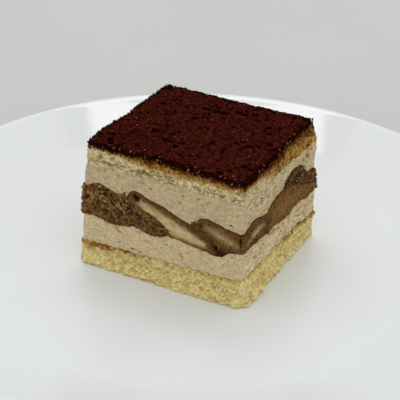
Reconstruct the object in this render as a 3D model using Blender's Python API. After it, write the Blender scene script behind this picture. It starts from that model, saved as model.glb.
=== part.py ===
"""Tiramisu slice on its dinner plate.

A square-cut slice stands a little behind the middle of a white coupe plate. From the bottom up it is
a pale sponge, coffee cream, a band of coffee-soaked sponge fingers laid side by side, coffee cream
again, a thin sponge and a coat of cocoa. Every layer is one closed solid that runs right through the
slice, and every finger or offcut in the band is a solid of its own.

Sizes are in millimetres and become metres where a mesh is made. The origin is the middle of the
plate's foot, on the table. +Z is up, the slice's long cut face looks towards -Y and its short cut
face towards +X.
"""

import math

import bmesh
import bpy

MM = 0.001
GAP = 0.3  # left between any two solids that touch

# Plate: a coupe plate, flat in the middle and curving up to a rounded lip, on a foot ring.
PLATE_RADIUS = 137.5
PLATE_HEIGHT = 21.5
WELL_RADIUS = 92.0
WELL_TOP = 7.5
WELL_UNDER = 2.5
LIP_RADIUS = 1.7
FOOT_OUTER = 80.0
FOOT_INNER = 75.0
COUPE_POWER = 1.75  # how late the slope turns up: 1 is a straight cone
COUPE_STEPS = 6
LIP_STEPS = 4
PLATE_SEGMENTS = 72

# Slice: nominal length along X, depth along Y and height, with its front right corner on the plate.
LENGTH = 72.0
DEPTH = 64.0
HEIGHT = 57.8
CORNER = (32.6, -23.1)
SLICE_FLOOR = WELL_TOP + GAP
# How far each cut corner stands out from the nominal box, at the foot and at the top, as (x, y):
# front left, front right, back right, back left. The knife leant a little on the left and the right.
FOOT_CORNERS = ((-1.6, -0.6), (0.6, 0.0), (2.6, -1.2), (-1.4, -0.4))
TOP_CORNERS = ((0.0, 0.0), (0.5, -0.6), (-1.0, 1.0), (0.5, -0.4))
DRIFT = -5.0  # the fingers lie a little askew: mid-slice they move this far in X from front to back
JOINT_DRIFT = 0.76 * DRIFT  # the same at the joints, which lie nearer the cut faces
LIP = 1.5  # the height profiles run level over this width next to each cut face

# Heights over the slice's floor, at the front left, front right, back right and back left corners.
BASE_TOP = (9.4, 12.4, 10.6, 11.0)
CREAM_TOP = (46.8, 48.4, 46.6, 47.2)
SPONGE_TOP = (56.4, 56.2, 56.2, 56.3)
COCOA_TOP = (57.8, 57.6, 57.8, 57.8)
WAVE = 0.6  # the sponges' faces swell and dip by this much

# The band's upper and lower outline at the front cut face, as (x from the corner, height).
FRONT_CEILING = (
    (-72.0, 36.3), (-66.0, 39.0), (-61.0, 37.6), (-56.5, 36.0), (-53.4, 34.6), (-52.0, 37.8),
    (-49.5, 39.9), (-45.5, 39.0), (-38.0, 37.0), (-30.0, 34.4), (-24.0, 32.2), (-21.2, 31.6),
    (-19.8, 35.0), (-16.0, 36.8), (-10.0, 35.8), (-5.0, 34.7), (0.0, 33.9),
)
FRONT_FLOOR = (
    (-72.0, 23.2), (-61.0, 21.6), (-53.4, 22.2), (-49.5, 23.5), (-45.5, 22.3), (-38.0, 21.8),
    (-30.0, 23.6), (-21.2, 22.2), (-16.0, 21.5), (-10.0, 20.9), (-5.0, 24.6), (0.0, 25.3),
)
# The same at the right cut face, as (y from the corner, height).
RIGHT_CEILING = (
    (0.0, 33.9), (6.0, 32.2), (12.0, 32.6), (18.0, 33.4), (21.8, 31.6), (26.0, 32.2), (32.0, 34.0),
    (35.4, 35.4), (37.0, 39.4), (41.0, 41.2), (46.0, 41.6), (51.0, 39.4), (55.5, 36.0),
    (60.0, 33.6), (64.0, 31.8),
)
RIGHT_FLOOR = (
    (0.0, 25.3), (6.0, 24.5), (18.0, 24.4), (21.8, 23.0), (26.0, 24.4), (32.0, 22.6), (37.0, 21.6),
    (46.0, 22.6), (55.5, 23.2), (64.0, 22.0),
)
STRIP_LEFT = -20.5  # the short pieces fill the band from this x to the right cut face
STRIP_START = 23.0  # the right face's outline takes over from the front's over this depth
BACK_CEILING = 36.4  # the band evens out towards this height at the back
BACK_FLOOR = 22.4
BACK_SHARE = 0.45  # how much of the front outline is left at the back

# Where the band is divided, as x at the band's top and bottom, or y.
FIRST_JOINT = (-53.0, -30.5)
SECOND_JOINT = (-20.6, -11.0)
CROSS_JOINT = 21.8
OFFCUT_JOINT = 36.2
OFFCUT_BED = ((36.2, 34.9), (45.0, 34.0), (53.0, 31.2), (59.0, 28.0), (66.0, 24.6))
JOINT_GAP = 0.55  # along x, because the joints slant

# Stations at which every layer has a row of points, so that faces that meet have the same facets.
X_STATIONS = (-72.0, -70.4, *(x for x, _ in FRONT_CEILING[1:-1]), -1.6, 0.0)
Y_STATIONS = (0.0, 1.6, *(y for y, _ in RIGHT_CEILING[1:-1]), 62.4, 64.0)
COARSE_X = X_STATIONS[::3] if X_STATIONS[::3][-1] == 0.0 else (*X_STATIONS[::3], 0.0)
COARSE_Y = (*Y_STATIONS[:-1:3], 64.0)

# Each layer's wall from its bottom to its top: (share of the height, how far it stands out).
BASE_WALL = ((0.0, -1.0), (0.12, 0.5), (0.6, 1.0), (1.0, 0.5))
LOWER_CREAM_WALL = ((0.0, 0.2), (0.5, 0.0), (1.0, 0.3))
BAND_WALL = ((0.0, 0.5), (0.5, 0.9), (1.0, 0.5))
UPPER_CREAM_WALL = ((0.0, 0.3), (0.5, 0.4), (1.0, 0.2))
SPONGE_WALL = ((0.0, 0.3), (0.5, 0.5), (1.0, 0.1))
COCOA_WALL = ((0.0, 0.3), (0.45, 0.4), (1.0, -0.5))

COLOURS = {
    "porcelain": ((0.80, 0.82, 0.82), 0.16),
    "base_sponge": ((0.52, 0.40, 0.17), 0.90),
    "cream": ((0.52, 0.40, 0.25), 0.55),
    "soaked_sponge": ((0.09, 0.04, 0.015), 0.60),
    "finger": ((0.22, 0.13, 0.05), 0.65),
    "top_sponge": ((0.42, 0.30, 0.13), 0.90),
    "cocoa": ((0.045, 0.009, 0.005), 0.85),
}


def clear_scene():
    for obj in list(bpy.data.objects):
        bpy.data.objects.remove(obj, do_unlink=True)


def material(name):
    """The Principled material of that name, made once."""
    found = bpy.data.materials.get(name)
    if found:
        return found
    colour, roughness = COLOURS[name]
    made = bpy.data.materials.new(name)
    made.use_nodes = True
    shader = made.node_tree.nodes["Principled BSDF"]
    shader.inputs["Base Color"].default_value = (*colour, 1.0)
    shader.inputs["Roughness"].default_value = roughness
    shader.inputs["Metallic"].default_value = 0.0
    made.diffuse_color = (*colour, 1.0)
    return made


def add_object(name, bm, finish=None):
    """Links a new object that holds bm's mesh, scaled from millimetres to metres."""
    bmesh.ops.recalc_face_normals(bm, faces=bm.faces)
    bmesh.ops.scale(bm, vec=(MM, MM, MM), verts=bm.verts)
    mesh = bpy.data.meshes.new(name)
    bm.to_mesh(mesh)
    bm.free()
    obj = bpy.data.objects.new(name, mesh)
    bpy.context.scene.collection.objects.link(obj)
    if finish:
        mesh.materials.append(material(finish))
    return obj


def along(outline, at):
    """The height of an outline, given as (place, height) points, at a place between its ends."""
    if at <= outline[0][0]:
        return outline[0][1]
    for (start, low), (end, high) in zip(outline, outline[1:]):
        if at <= end:
            return low + (high - low) * (at - start) / (end - start)
    return outline[-1][1]


def corner_mix(values, u, v):
    """The mix of four corner values: front left, front right, back right, back left."""
    front = values[0] + (values[1] - values[0]) * u
    back = values[3] + (values[2] - values[3]) * u
    return front + (back - front) * v


def smooth(share):
    share = min(max(share, 0.0), 1.0)
    return share * share * (3.0 - 2.0 * share)


def inner(x, y):
    """The place that a height is read at, so that the profiles run level next to the cut faces."""
    return min(max(x, LIP - LENGTH), -LIP), min(max(y, LIP), DEPTH - LIP)


def level(corners, x, y, phase):
    """A nearly level face of a sponge, with its slow swells."""
    x, y = inner(x, y)
    swell = math.sin(x / 11.0 + phase) * math.cos(y / 13.0 + 2.0 * phase)
    return corner_mix(corners, 1.0 + x / LENGTH, y / DEPTH) + WAVE * swell


def band_face(front, right, even, x, y):
    """One face of the band. It follows the front outline, and right of STRIP_LEFT the right one."""
    x, y = inner(x, y)
    back = y / DEPTH
    run = along(front, x)
    run += (even + BACK_SHARE * (run - even) - run) * smooth(back)
    if x <= STRIP_LEFT:
        return run
    side = along(right, y) + (along(front, x) - front[-1][1]) * (1.0 - smooth(y / STRIP_START))
    reach = smooth((x - STRIP_LEFT) / 5.0)
    if y < STRIP_START:
        reach = 1.0 - (1.0 - reach) * smooth(y / STRIP_START)
    return run + (side - run) * reach


def band_top(x, y):
    return band_face(FRONT_CEILING, RIGHT_CEILING, BACK_CEILING, x, y)


def band_bottom(x, y):
    return band_face(FRONT_FLOOR, RIGHT_FLOOR, BACK_FLOOR, x, y)


def in_slice(x, y, height, stand_out=0.0):
    """A point of the slice in the plate's frame, from x and y at the nominal box and its height.

    The walls lean between the foot's and the top's corners. stand_out moves only the points of a
    cut face.
    """
    u, v, rise = 1.0 + x / LENGTH, y / DEPTH, height / HEIGHT
    lean = [
        corner_mix([c[k] for c in FOOT_CORNERS], u, v) * (1.0 - rise)
        + corner_mix([c[k] for c in TOP_CORNERS], u, v) * rise
        for k in (0, 1)
    ]
    out_x = stand_out * ((x >= 0.0) - (x <= -LENGTH))
    out_y = stand_out * ((y >= DEPTH) - (y <= 0.0))
    askew = DRIFT * v * math.sin(math.pi * u) if 0.0 < u < 1.0 else 0.0
    return (
        CORNER[0] + x + lean[0] + out_x + askew,
        CORNER[1] + y + lean[1] + out_y,
        SLICE_FLOOR + height,
    )


def layer_mesh(bottom, top, wall, xs, ys):
    """A closed layer between two faces, bottom(x, y) and top(x, y), as a bmesh."""
    bm = bmesh.new()
    last = (len(xs) - 1, len(ys) - 1, len(wall) - 1)
    corners = {}

    def corner(i, j, k):
        if (i, j, k) not in corners:
            low, high = bottom(xs[i], ys[j]), top(xs[i], ys[j])
            share, stand_out = wall[k]
            point = in_slice(xs[i], ys[j], low + (high - low) * share, stand_out)
            corners[i, j, k] = bm.verts.new(point)
        return corners[i, j, k]

    def patch(first, second, fixed, at):
        """One side of the layer: a grid over two of the three directions."""
        for a in range(last[first]):
            for b in range(last[second]):
                quad = []
                for da, db in ((0, 0), (1, 0), (1, 1), (0, 1)):
                    index = [0, 0, 0]
                    index[first], index[second], index[fixed] = a + da, b + db, at
                    quad.append(corner(*index))
                bm.faces.new(quad)

    for first, second, fixed in ((0, 1, 2), (0, 2, 1), (1, 2, 0)):
        patch(first, second, fixed, 0)
        patch(first, second, fixed, last[fixed])
    bmesh.ops.recalc_face_normals(bm, faces=bm.faces)
    bmesh.ops.triangulate(bm, faces=bm.faces)
    return bm


def lifted(face, by):
    return lambda x, y: face(x, y) + by


def base_top(x, y):
    return level(BASE_TOP, x, y, 0.4)


def cream_top(x, y):
    return level(CREAM_TOP, x, y, 2.1)


def sponge_top(x, y):
    return level(SPONGE_TOP, x, y, 1.3)


def cocoa_top(x, y):
    return level(COCOA_TOP, x, y, 1.3)


def add_layers():
    """The sponges, creams and cocoa, each through the whole slice."""
    coarse = (COARSE_X, COARSE_Y)
    fine = (X_STATIONS, Y_STATIONS)
    half = GAP / 2.0
    layers = (
        ("base_sponge", "base_sponge", lambda x, y: 0.0, lifted(base_top, -half), BASE_WALL, coarse),
        ("lower_cream", "cream", lifted(base_top, half), lifted(band_bottom, -half),
         LOWER_CREAM_WALL, fine),
        ("upper_cream", "cream", lifted(band_top, half), lifted(cream_top, -half),
         UPPER_CREAM_WALL, fine),
        ("top_sponge", "top_sponge", lifted(cream_top, half), lifted(sponge_top, -half),
         SPONGE_WALL, coarse),
        ("cocoa", "cocoa", lifted(sponge_top, half), cocoa_top, COCOA_WALL, coarse),
    )
    for name, finish, bottom, top, wall, (xs, ys) in layers:
        add_object(name, layer_mesh(bottom, top, wall, xs, ys), finish)


def prism(name, section, axis):
    """A hidden cutter: a section of (place, height) points drawn through the slice along an axis.

    axis is "y" for a section of x and height, and "x" for one of y and height.
    """
    bm = bmesh.new()
    ends = (-6.0, DEPTH + 6.0) if axis == "y" else (STRIP_LEFT - 12.0, 8.0)
    rings = []
    for end in ends:
        ring = []
        for place, height in section:
            x, y = (place + JOINT_DRIFT * end / DEPTH, end) if axis == "y" else (end, place)
            ring.append(bm.verts.new((CORNER[0] + x, CORNER[1] + y, SLICE_FLOOR + height)))
        rings.append(ring)
    count = len(section)
    for k in range(count):
        after = (k + 1) % count
        bm.faces.new((rings[0][k], rings[0][after], rings[1][after], rings[1][k]))
    bm.faces.new(rings[0])
    bm.faces.new(rings[1][::-1])
    cutter = add_object(name, bm)
    cutter.hide_render = True
    cutter.display_type = "WIRE"
    return cutter


def slanted(left, right):
    """The section between two slanted joints, each given as x at the band's top and bottom."""
    low, high = 15.0, 46.0
    span = (34.0 - 23.0)  # the height over which a joint's two x are given

    def at(joint, height):
        top, bottom = joint
        return bottom + (top - bottom) * (height - 23.0) / span

    return [(at(left, low), low), (at(right, low), low), (at(right, high), high), (at(left, high), high)]


def box_section(start, end, low=15.0, high=46.0):
    return [(start, low), (end, low), (end, high), (start, high)]


def shifted(joint, by):
    return joint[0] + by, joint[1] + by


def add_band():
    """The soaked band, cut by slanted joints into its separate pieces."""
    outside = 9.0
    left_end = (-LENGTH - outside, -LENGTH - outside)
    right_end = (outside, outside)
    half = JOINT_GAP / 2.0
    small = GAP / 2.0
    first = prism("cut_first", slanted(left_end, shifted(FIRST_JOINT, -half)), "y")
    long_ = prism(
        "cut_long", slanted(shifted(FIRST_JOINT, half), shifted(SECOND_JOINT, -half)), "y"
    )
    strip = prism("cut_strip", slanted(shifted(SECOND_JOINT, half), right_end), "y")
    front = prism("cut_front", box_section(-outside, CROSS_JOINT - small), "x")
    behind = prism("cut_behind", box_section(CROSS_JOINT + small, DEPTH + outside), "x")
    bed = [(y, height) for y, height in OFFCUT_BED]
    bed[-1] = (DEPTH + outside, bed[-1][1] - 3.0)
    above = prism(
        "cut_above",
        [(y, h + small) for y, h in bed] + [(bed[-1][0], 46.0), (bed[0][0], 46.0)],
        "x",
    )
    around = prism(
        "cut_around",
        [(bed[0][0] - GAP, 46.0), (bed[0][0] - GAP, bed[0][1] - small)]
        + [(y, h - small) for y, h in bed[1:]]
        + [(bed[-1][0], 46.0)],
        "x",
    )
    pieces = (
        ("soaked_sponge", "soaked_sponge", (("INTERSECT", first),)),
        ("long_finger", "finger", (("INTERSECT", long_),)),
        ("corner_finger", "finger", (("INTERSECT", strip), ("INTERSECT", front))),
        ("back_finger", "finger",
         (("INTERSECT", strip), ("INTERSECT", behind), ("DIFFERENCE", around))),
        ("offcut", "soaked_sponge", (("INTERSECT", strip), ("INTERSECT", above))),
    )
    for name, finish, cuts in pieces:
        whole = layer_mesh(
            lifted(band_bottom, small), lifted(band_top, -small), BAND_WALL, X_STATIONS, Y_STATIONS
        )
        piece = add_object(name, whole, finish)
        for step, (operation, cutter) in enumerate(cuts):
            modifier = piece.modifiers.new(f"cut_{step}", "BOOLEAN")
            modifier.operation = operation
            modifier.object = cutter


def coupe(radius, low, high, reach):
    """The height of a coupe plate's face: level to the well's edge, then curving up to its rim."""
    share = max(radius - WELL_RADIUS, 0.0) / (reach - WELL_RADIUS)
    return low + (high - low) * share**COUPE_POWER


def plate_profile():
    """The plate's half section, from the middle of its top round the lip and the foot to the axis."""
    lip_centre = (PLATE_RADIUS - LIP_RADIUS, PLATE_HEIGHT - LIP_RADIUS)
    rim_inner = lip_centre[0] - 0.7 * LIP_RADIUS
    rim_high = PLATE_HEIGHT - 0.25 * LIP_RADIUS
    points = [(0.0, WELL_TOP)]
    for step in range(COUPE_STEPS + 1):
        radius = WELL_RADIUS + (rim_inner - WELL_RADIUS) * step / COUPE_STEPS
        points.append((radius, coupe(radius, WELL_TOP, rim_high, rim_inner)))
    for step in range(LIP_STEPS + 1):
        turn = math.radians(80.0 - 130.0 * step / LIP_STEPS)
        points.append(
            (lip_centre[0] + LIP_RADIUS * math.cos(turn), lip_centre[1] + LIP_RADIUS * math.sin(turn))
        )
    rim_under = points[-1]
    for step in range(1, COUPE_STEPS):
        radius = rim_under[0] + (FOOT_OUTER + 4.0 - rim_under[0]) * step / COUPE_STEPS
        points.append((radius, coupe(radius, WELL_UNDER, rim_under[1], rim_under[0])))
    points += [
        (FOOT_OUTER + 1.5, WELL_UNDER),
        (FOOT_OUTER, 0.0),
        (FOOT_INNER, 0.0),
        (FOOT_INNER - 1.5, WELL_UNDER),
        (0.0, WELL_UNDER),
    ]
    return points


def add_plate():
    bm = bmesh.new()
    verts = [bm.verts.new((radius, 0.0, height)) for radius, height in plate_profile()]
    edges = [bm.edges.new(pair) for pair in zip(verts, verts[1:])]
    bmesh.ops.spin(
        bm,
        geom=verts + edges,
        cent=(0.0, 0.0, 0.0),
        axis=(0.0, 0.0, 1.0),
        angle=2.0 * math.pi,
        steps=PLATE_SEGMENTS,
        use_merge=True,
    )
    bmesh.ops.remove_doubles(bm, verts=bm.verts, dist=0.001)
    plate = add_object("plate", bm, "porcelain")
    plate.data.shade_smooth()
    plate.data.set_sharp_from_angle(angle=math.radians(40.0))


def main():
    clear_scene()
    add_plate()
    add_layers()
    add_band()


main()
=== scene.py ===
import math

import bpy
import numpy as np
from mathutils import Matrix, Vector


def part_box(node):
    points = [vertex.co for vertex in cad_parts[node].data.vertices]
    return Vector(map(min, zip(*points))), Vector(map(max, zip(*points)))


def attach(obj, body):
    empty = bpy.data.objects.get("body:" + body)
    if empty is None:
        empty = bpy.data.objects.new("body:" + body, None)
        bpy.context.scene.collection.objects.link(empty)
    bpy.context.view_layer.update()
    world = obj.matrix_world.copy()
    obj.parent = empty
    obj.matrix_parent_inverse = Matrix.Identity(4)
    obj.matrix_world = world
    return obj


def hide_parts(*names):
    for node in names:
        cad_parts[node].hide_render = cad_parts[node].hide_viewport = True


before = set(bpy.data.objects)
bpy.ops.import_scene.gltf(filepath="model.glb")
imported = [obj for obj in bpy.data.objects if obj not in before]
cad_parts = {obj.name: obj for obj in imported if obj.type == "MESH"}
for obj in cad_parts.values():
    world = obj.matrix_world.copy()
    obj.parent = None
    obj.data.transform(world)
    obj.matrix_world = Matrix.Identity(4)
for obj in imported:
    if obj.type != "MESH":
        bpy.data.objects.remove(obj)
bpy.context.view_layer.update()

bl_info = {
    "name": "Tiramisu slice",
    "version": (1, 0, 0),
    "blender": (4, 5, 0),
    "location": "View3D > Sidebar > Tiramisu",
    "description": "Builds a slice of tiramisu on a white coupe plate, layer by layer",
    "category": "Object",
}

# Sizes of the slice are in millimetres. In the slice's own frame x is 0 at the short cut face and
# runs to -LENGTH, y is 0 at the long cut face and runs to DEPTH, and z is 0 at the sponge's foot.
MM = 0.001
LENGTH = 72.0
DEPTH = 64.0
HEIGHT = 57.8
_cocoa_low, _cocoa_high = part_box("cocoa")
_foot_low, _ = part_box("base_sponge")
OVERHANG = (0.9, 1.0)  # how far the CAD's cocoa stands past the slice's front right corner
CORNER = (_cocoa_high.x / MM - OVERHANG[0], _cocoa_low.y / MM + OVERHANG[1])
FLOOR = _foot_low.z / MM
GLAZE = FLOOR - 0.3  # the plate's face lies a little under the slice's foot
BASE_FOOT = -0.27  # the sponge sinks in this far at its foot
ALL_CUT = ("front", "right", "back", "left")
NEAR_FACE = 1.3  # points this close to a cut face belong to it
HIDDEN_STEP = 1.6  # distance between the points of a side that no one sees
HIDDEN_ROUNDING = 0.3  # and the rounding of its upright edges
MIDDLE_HEIGHT = 30.0
PUSH_REACH = 0.9  # points further in than this from the cut faces are not pushed out

# How far each cut corner stands out from the nominal box: front left, front right, back right,
# back left. The knife leant a little on the left and the right.
FOOT_CORNERS = ((-2.8, -1.8), (0.9, -0.8), (0.2, 4.3), (-2.4, 0.4))
TOP_CORNERS = ((0, 0), (-0.5, -0.1), (0.4, 1), (1.2, -0.6))

# How far the left face bows out next to the long cut face, and the right face next to the back
# (height, distance). The left face bows a second time at the top.
LEFT_BOW = (
    (0, 0.3), (6, 0.8), (10, 1.4), (14, 1), (21, 0.9), (25, 0.1), (33, 0.2), (36, 0.9), (38.5, 1.5),
    (42, 1.2), (48, 0.5), (58, 0.4),
)
RIGHT_BOW = (
    (0, 0), (8, 0.9), (12, 1.7), (17, 1.4), (22, 1.5), (27, 1), (32, 0.9), (36, 0.8), (42, 1.1),
    (50, 1.2), (58, 0.3),
)

# Heights over the foot at the same four corners.
BASE_TOP = (9.4, 12, 13, 11)
CREAM_TOP = (46.8, 48.4, 46.6, 47.2)
SPONGE_TOP = (56.2, 56, 56, 56.2)
COCOA_TOP = (57.7, 57.5, 57.7, 57.7)

# The soaked band's upper and lower outline at the long cut face (x, height) and the short (y, height).
FRONT_CEILING = (
    (-72, 36.3), (-66, 39), (-61, 37.6), (-56.5, 36), (-53.4, 34.6), (-52.6, 37.2), (-51.4, 39.2),
    (-49.5, 39.9), (-47.6, 39.7), (-45, 38.9), (-38, 37), (-30, 34.4), (-24, 32.2), (-21.2, 31.6),
    (-20.4, 34.6), (-19, 36.2), (-16, 36.9), (-10, 35.8), (-5, 34.7), (0, 33.9),
)
FRONT_FLOOR = (
    (-72, 23.2), (-66, 22.6), (-61, 21.5), (-57, 21.5), (-53.4, 22.2), (-49.5, 23.7), (-45.5, 22.3),
    (-41.5, 21.5), (-38, 21.8), (-33.5, 23.8), (-30, 23.4), (-26, 22.6), (-21.2, 22.2), (-16, 21.5),
    (-12.5, 20.8), (-9.8, 20.9), (-7.4, 22.9), (-5, 24.6), (0, 25.3),
)
RIGHT_CEILING = (
    (0, 33.9), (2.5, 34.6), (6, 35.4), (10.2, 35.8), (17.9, 34.4), (21.4, 32.8), (22.6, 35.2), (29, 37),
    (35.6, 37.4), (36.3, 40.4), (40.3, 41.8), (45.1, 42.8), (50, 42.4), (52.5, 41), (56.5, 35.6),
    (61.5, 35.4), (66, 32.6),
)
RIGHT_FLOOR = (
    (0, 25.3), (6, 24.5), (14, 24.6), (18, 24.2), (21.8, 22.8), (26, 24.4), (34, 23), (42, 21.9),
    (46.8, 23.8), (56.5, 24.2), (61.5, 24.8), (66, 23.8),
)
# The short face's outline holds right of STRIP_LEFT, and alone from STRIP_START on. Elsewhere the
# long face's outline flattens towards the back, to BACK_SHARE of its swing about an even height.
STRIP_LEFT = -20.5
STRIP_START = 23.0
BACK_CEILING = 36.4
BACK_FLOOR = 22.4
BACK_SHARE = 0.45
DRIFT = -3.8  # the slanted joints move this far in x from the front face to the back one
JOINT_GAP = 0.05  # between the pieces at a slanted joint and the joint itself

# The joints' outlines as (height, x), and the bed that the offcut lies in as (y, height).
FIRST_JOINT = (
    (21, -29.5), (24.2, -31.5), (28.3, -35.4), (31.4, -40.4), (33.2, -46.5), (34.8, -53.3), (40, -53.6),
)
SECOND_JOINT = ((20, -9.4), (24.4, -11.5), (28.7, -14.4), (31.4, -20.6), (32.4, -21.3), (38, -21.5))
CROSS_JOINT = 21.8
OFFCUT_START = 36.0
OFFCUT_BED = ((36, 37.2), (42, 35.8), (49, 33.4), (54, 31.2), (60, 29.4), (66, 27.6))

# Pale cores of the fingers as capsule chains: (place, height, radius) along the cut.
LONG_CORE = (
    (-46.6, 35.7, 1.2), (-41, 32.8, 2.5), (-35, 29.5, 3.4), (-28, 27.4, 2.8), (-22, 26, 2.2),
    (-17, 24.7, 0.9),
)
CORNER_CORE = ((-15.4, 33.2, 0.9), (-10, 31, 2), (-5, 29.4, 1.8), (-2.2, 28.6, 0.5))
SIDE_CORE = ((3.4, 28.3, 0.6), (8.5, 30, 1.6), (13, 30.6, 1.5), (17, 30.4, 0.6))
BACK_CORE = ((28, 29.2, 2.6), (36, 29.2, 3.4), (44, 28.6, 3), (52, 28.6, 2.2), (60, 27.4, 1.4))
HIDDEN_CORE = ((-18, 29, 2), (-4, 29.5, 2))

# Single holes and cuts that show, by cut face: (place, height, half width, half height, depth).
BAND_HOLES = {
    "front": (
        (-48.4, 37.6, 1.7, 1.1, 1.9), (-47.4, 29.6, 1.3, 0.55, 1.4), (-71, 32, 0.5, 1.2, 1.2),
        (-63, 34.7, 0.8, 0.7, 1.2), (-59, 31, 0.7, 0.8, 1), (-66.5, 29, 0.9, 0.5, 1),
        (-43.5, 27.4, 0.8, 0.5, 1.1), (-40, 25.6, 0.6, 0.5, 1), (-0.75, 30.5, 0.28, 2.4, 1.2),
        (-11.6, 24.6, 0.7, 1.3, 0.9),
    ),
    "right": (
        (9.5, 26.7, 3.2, 0.45, 1.5), (21.6, 28.6, 0.7, 2.6, 1), (42.5, 37.6, 1.2, 0.8, 1.3),
        (49.5, 38.2, 0.9, 0.9, 1.2), (46, 40, 0.7, 0.4, 0.9),
    ),
}
CREAM_HOLES = {
    "front": (
        (-49, 12.3, 1.9, 0.3, 0.9), (-45.8, 12, 0.7, 0.35, 0.8), (-27.1, 15.6, 0.9, 0.3, 0.8),
        (-33.8, 19.2, 0.5, 0.4, 0.8), (-57.1, 37.9, 0.5, 0.35, 0.8), (-5.1, 37.2, 1, 0.35, 0.8),
        (-56.2, 18.9, 1.6, 0.35, 0.5), (-4.6, 22.2, 0.5, 0.4, 0.8), (-27.6, 16.6, 0.6, 0.3, 0.7),
        (-36.5, 16.8, 0.6, 0.3, 0.6),
    ),
    "right": (
        (55.8, 44, 1.2, 0.85, 1.6), (24, 21.6, 1.6, 0.5, 1), (28.4, 21.8, 1.3, 0.4, 1),
        (31.8, 20.2, 1.2, 0.4, 0.9), (36, 19.8, 1.4, 0.35, 0.9), (4.3, 45.8, 0.8, 0.35, 0.9),
        (10.8, 18.3, 1, 0.45, 1), (16.5, 17, 1.3, 0.3, 0.8),
    ),
}
# Coffee stains in the cream, by cut face: (place, height, half width, half height).
CREAM_STAINS = {
    "front": (
        (-56.8, 20.4, 1.5, 1.3), (-43, 18.4, 1.2, 0.8), (-46.5, 45, 1.6, 0.7), (-66, 45.2, 1.2, 0.8),
        (-33, 45.8, 1.5, 0.6), (-16, 43.6, 1.4, 1), (-39, 16, 1.2, 0.6), (-24, 18.6, 1, 0.6),
    ),
    "right": (
        (22.5, 22.2, 2, 1.6), (27, 21.4, 2.4, 1.2), (31.5, 20.2, 1.4, 0.9), (12, 13.6, 1.5, 0.5),
        (38.5, 15, 1.6, 0.8), (21, 35.6, 1.5, 0.9), (55, 17, 1.6, 0.6), (55.8, 44, 1.4, 1),
    ),
}
BASE_HOLES = {
    "front": (
        (-48.4, 3.2, 1.1, 0.8, 1.3), (-12.5, 5.7, 0.9, 0.7, 1.2), (-48, 6.6, 1.2, 0.6, 0.9),
        (-31, 2.6, 0.5, 0.4, 0.9),
    ),
    "right": ((36, 9.2, 1.4, 0.7, 1.1),),
}
BASE_TUFTS = {
    "front": ((-4, 1.6, 4, 2, 0.9),),
    "right": (
        (13.5, 2.4, 2.6, 1.7, 1.6), (8, 1.6, 3, 1.8, 0.9), (2, 1.5, 3, 2, 1), (24, 4, 2.5, 2, 1),
        (38, 7.5, 2.4, 1.6, 0.9),
    ),
}
SPONGE_HOLES = {
    "front": (
        (-38.6, 50.2, 0.9, 0.9, 1.2), (-51.2, 49, 1.2, 0.5, 1), (-58.7, 49.7, 0.9, 0.5, 0.9),
        (-44.3, 49.5, 1.2, 0.5, 1), (-32.4, 48.6, 1, 0.5, 0.9), (-20, 49.4, 1.2, 1, 1.1),
    ),
    "right": ((44, 52.8, 0.8, 0.8, 1), (30, 53.4, 0.7, 0.9, 1)),
}
SPONGE_CRUST_FRONT = (
    (-72, 54.7), (-64, 53.8), (-52, 52.8), (-40, 51.8), (-24, 51.7), (-10, 52), (0, 53.2),
)
SPONGE_CRUST_RIGHT = ((0, 53.2), (11, 52), (20, 50.4), (30, 48), (41, 47.6), (52, 48.2), (64, 48.6))

# Dents and clumps of the cocoa: (sign, count, smallest and largest radius, share of it as height).
COCOA_DENTS = ((-1, 105, 0.5, 1.5, 0.55), (-1, 520, 0.22, 0.6, 0.75), (1, 900, 0.25, 0.6, 0.5))
EDGE_GRAINS = 1500  # loose grains at the coat's edges

FOOT_IN, FOOT_OUT = 75.0, 80.0  # radii of the plate's foot ring
KNIFE_DRAG = -0.3  # slant of the drag marks at the short face, in radians

# The stage, in metres: the floor, each light's place and size, the point that the front light is
# turned to, and the cards that the glaze mirrors, as (name, glow, corners).
FLOOR_HALF = 3.0
TOP_LIGHT = ((-0.231, 0.421, 1.0), (0.42, 0.22))
TOP_LIGHT_TURN = 27.0
FRONT_LIGHT = ((0.15, -1.1, 0.95), (1.4, 1.0))
LIT_POINT = Vector((0.0, 0.0, 0.02))
CARD_HEIGHT = 0.99
CARDS = (
    ("softbox_front", 4.3, ((0.045, 0.36), (-0.240, 0.650), (-0.430, 0.625), (-0.345, 0.15))),
    ("right_flag", 0.0, ((0.078, 0.321), (-0.268, 0.659), (-0.266, 0.704), (0.091, 0.392))),
    ("left_flag", 0.0, ((-0.333, 0.121), (-0.422, 0.641), (-0.446, 0.637), (-0.422, 0.150))),
)


def linear(red, green, blue):
    """A scene colour from display numbers of 0 to 255."""
    shares = [value / 255.0 for value in (red, green, blue)]
    return tuple(s / 12.92 if s <= 0.04045 else ((s + 0.055) / 1.055) ** 2.4 for s in shares)


# ---------------------------------------------------------------- noise and faces of the layers


def smooth(share):
    share = np.clip(share, 0.0, 1.0)
    return share * share * (3.0 - 2.0 * share)


LATTICE = 8192  # values of a noise lattice, a power of two
SCRAMBLE = np.array([73856093, 19349663, 83492791])  # primes that mix a cell's three indices


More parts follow.
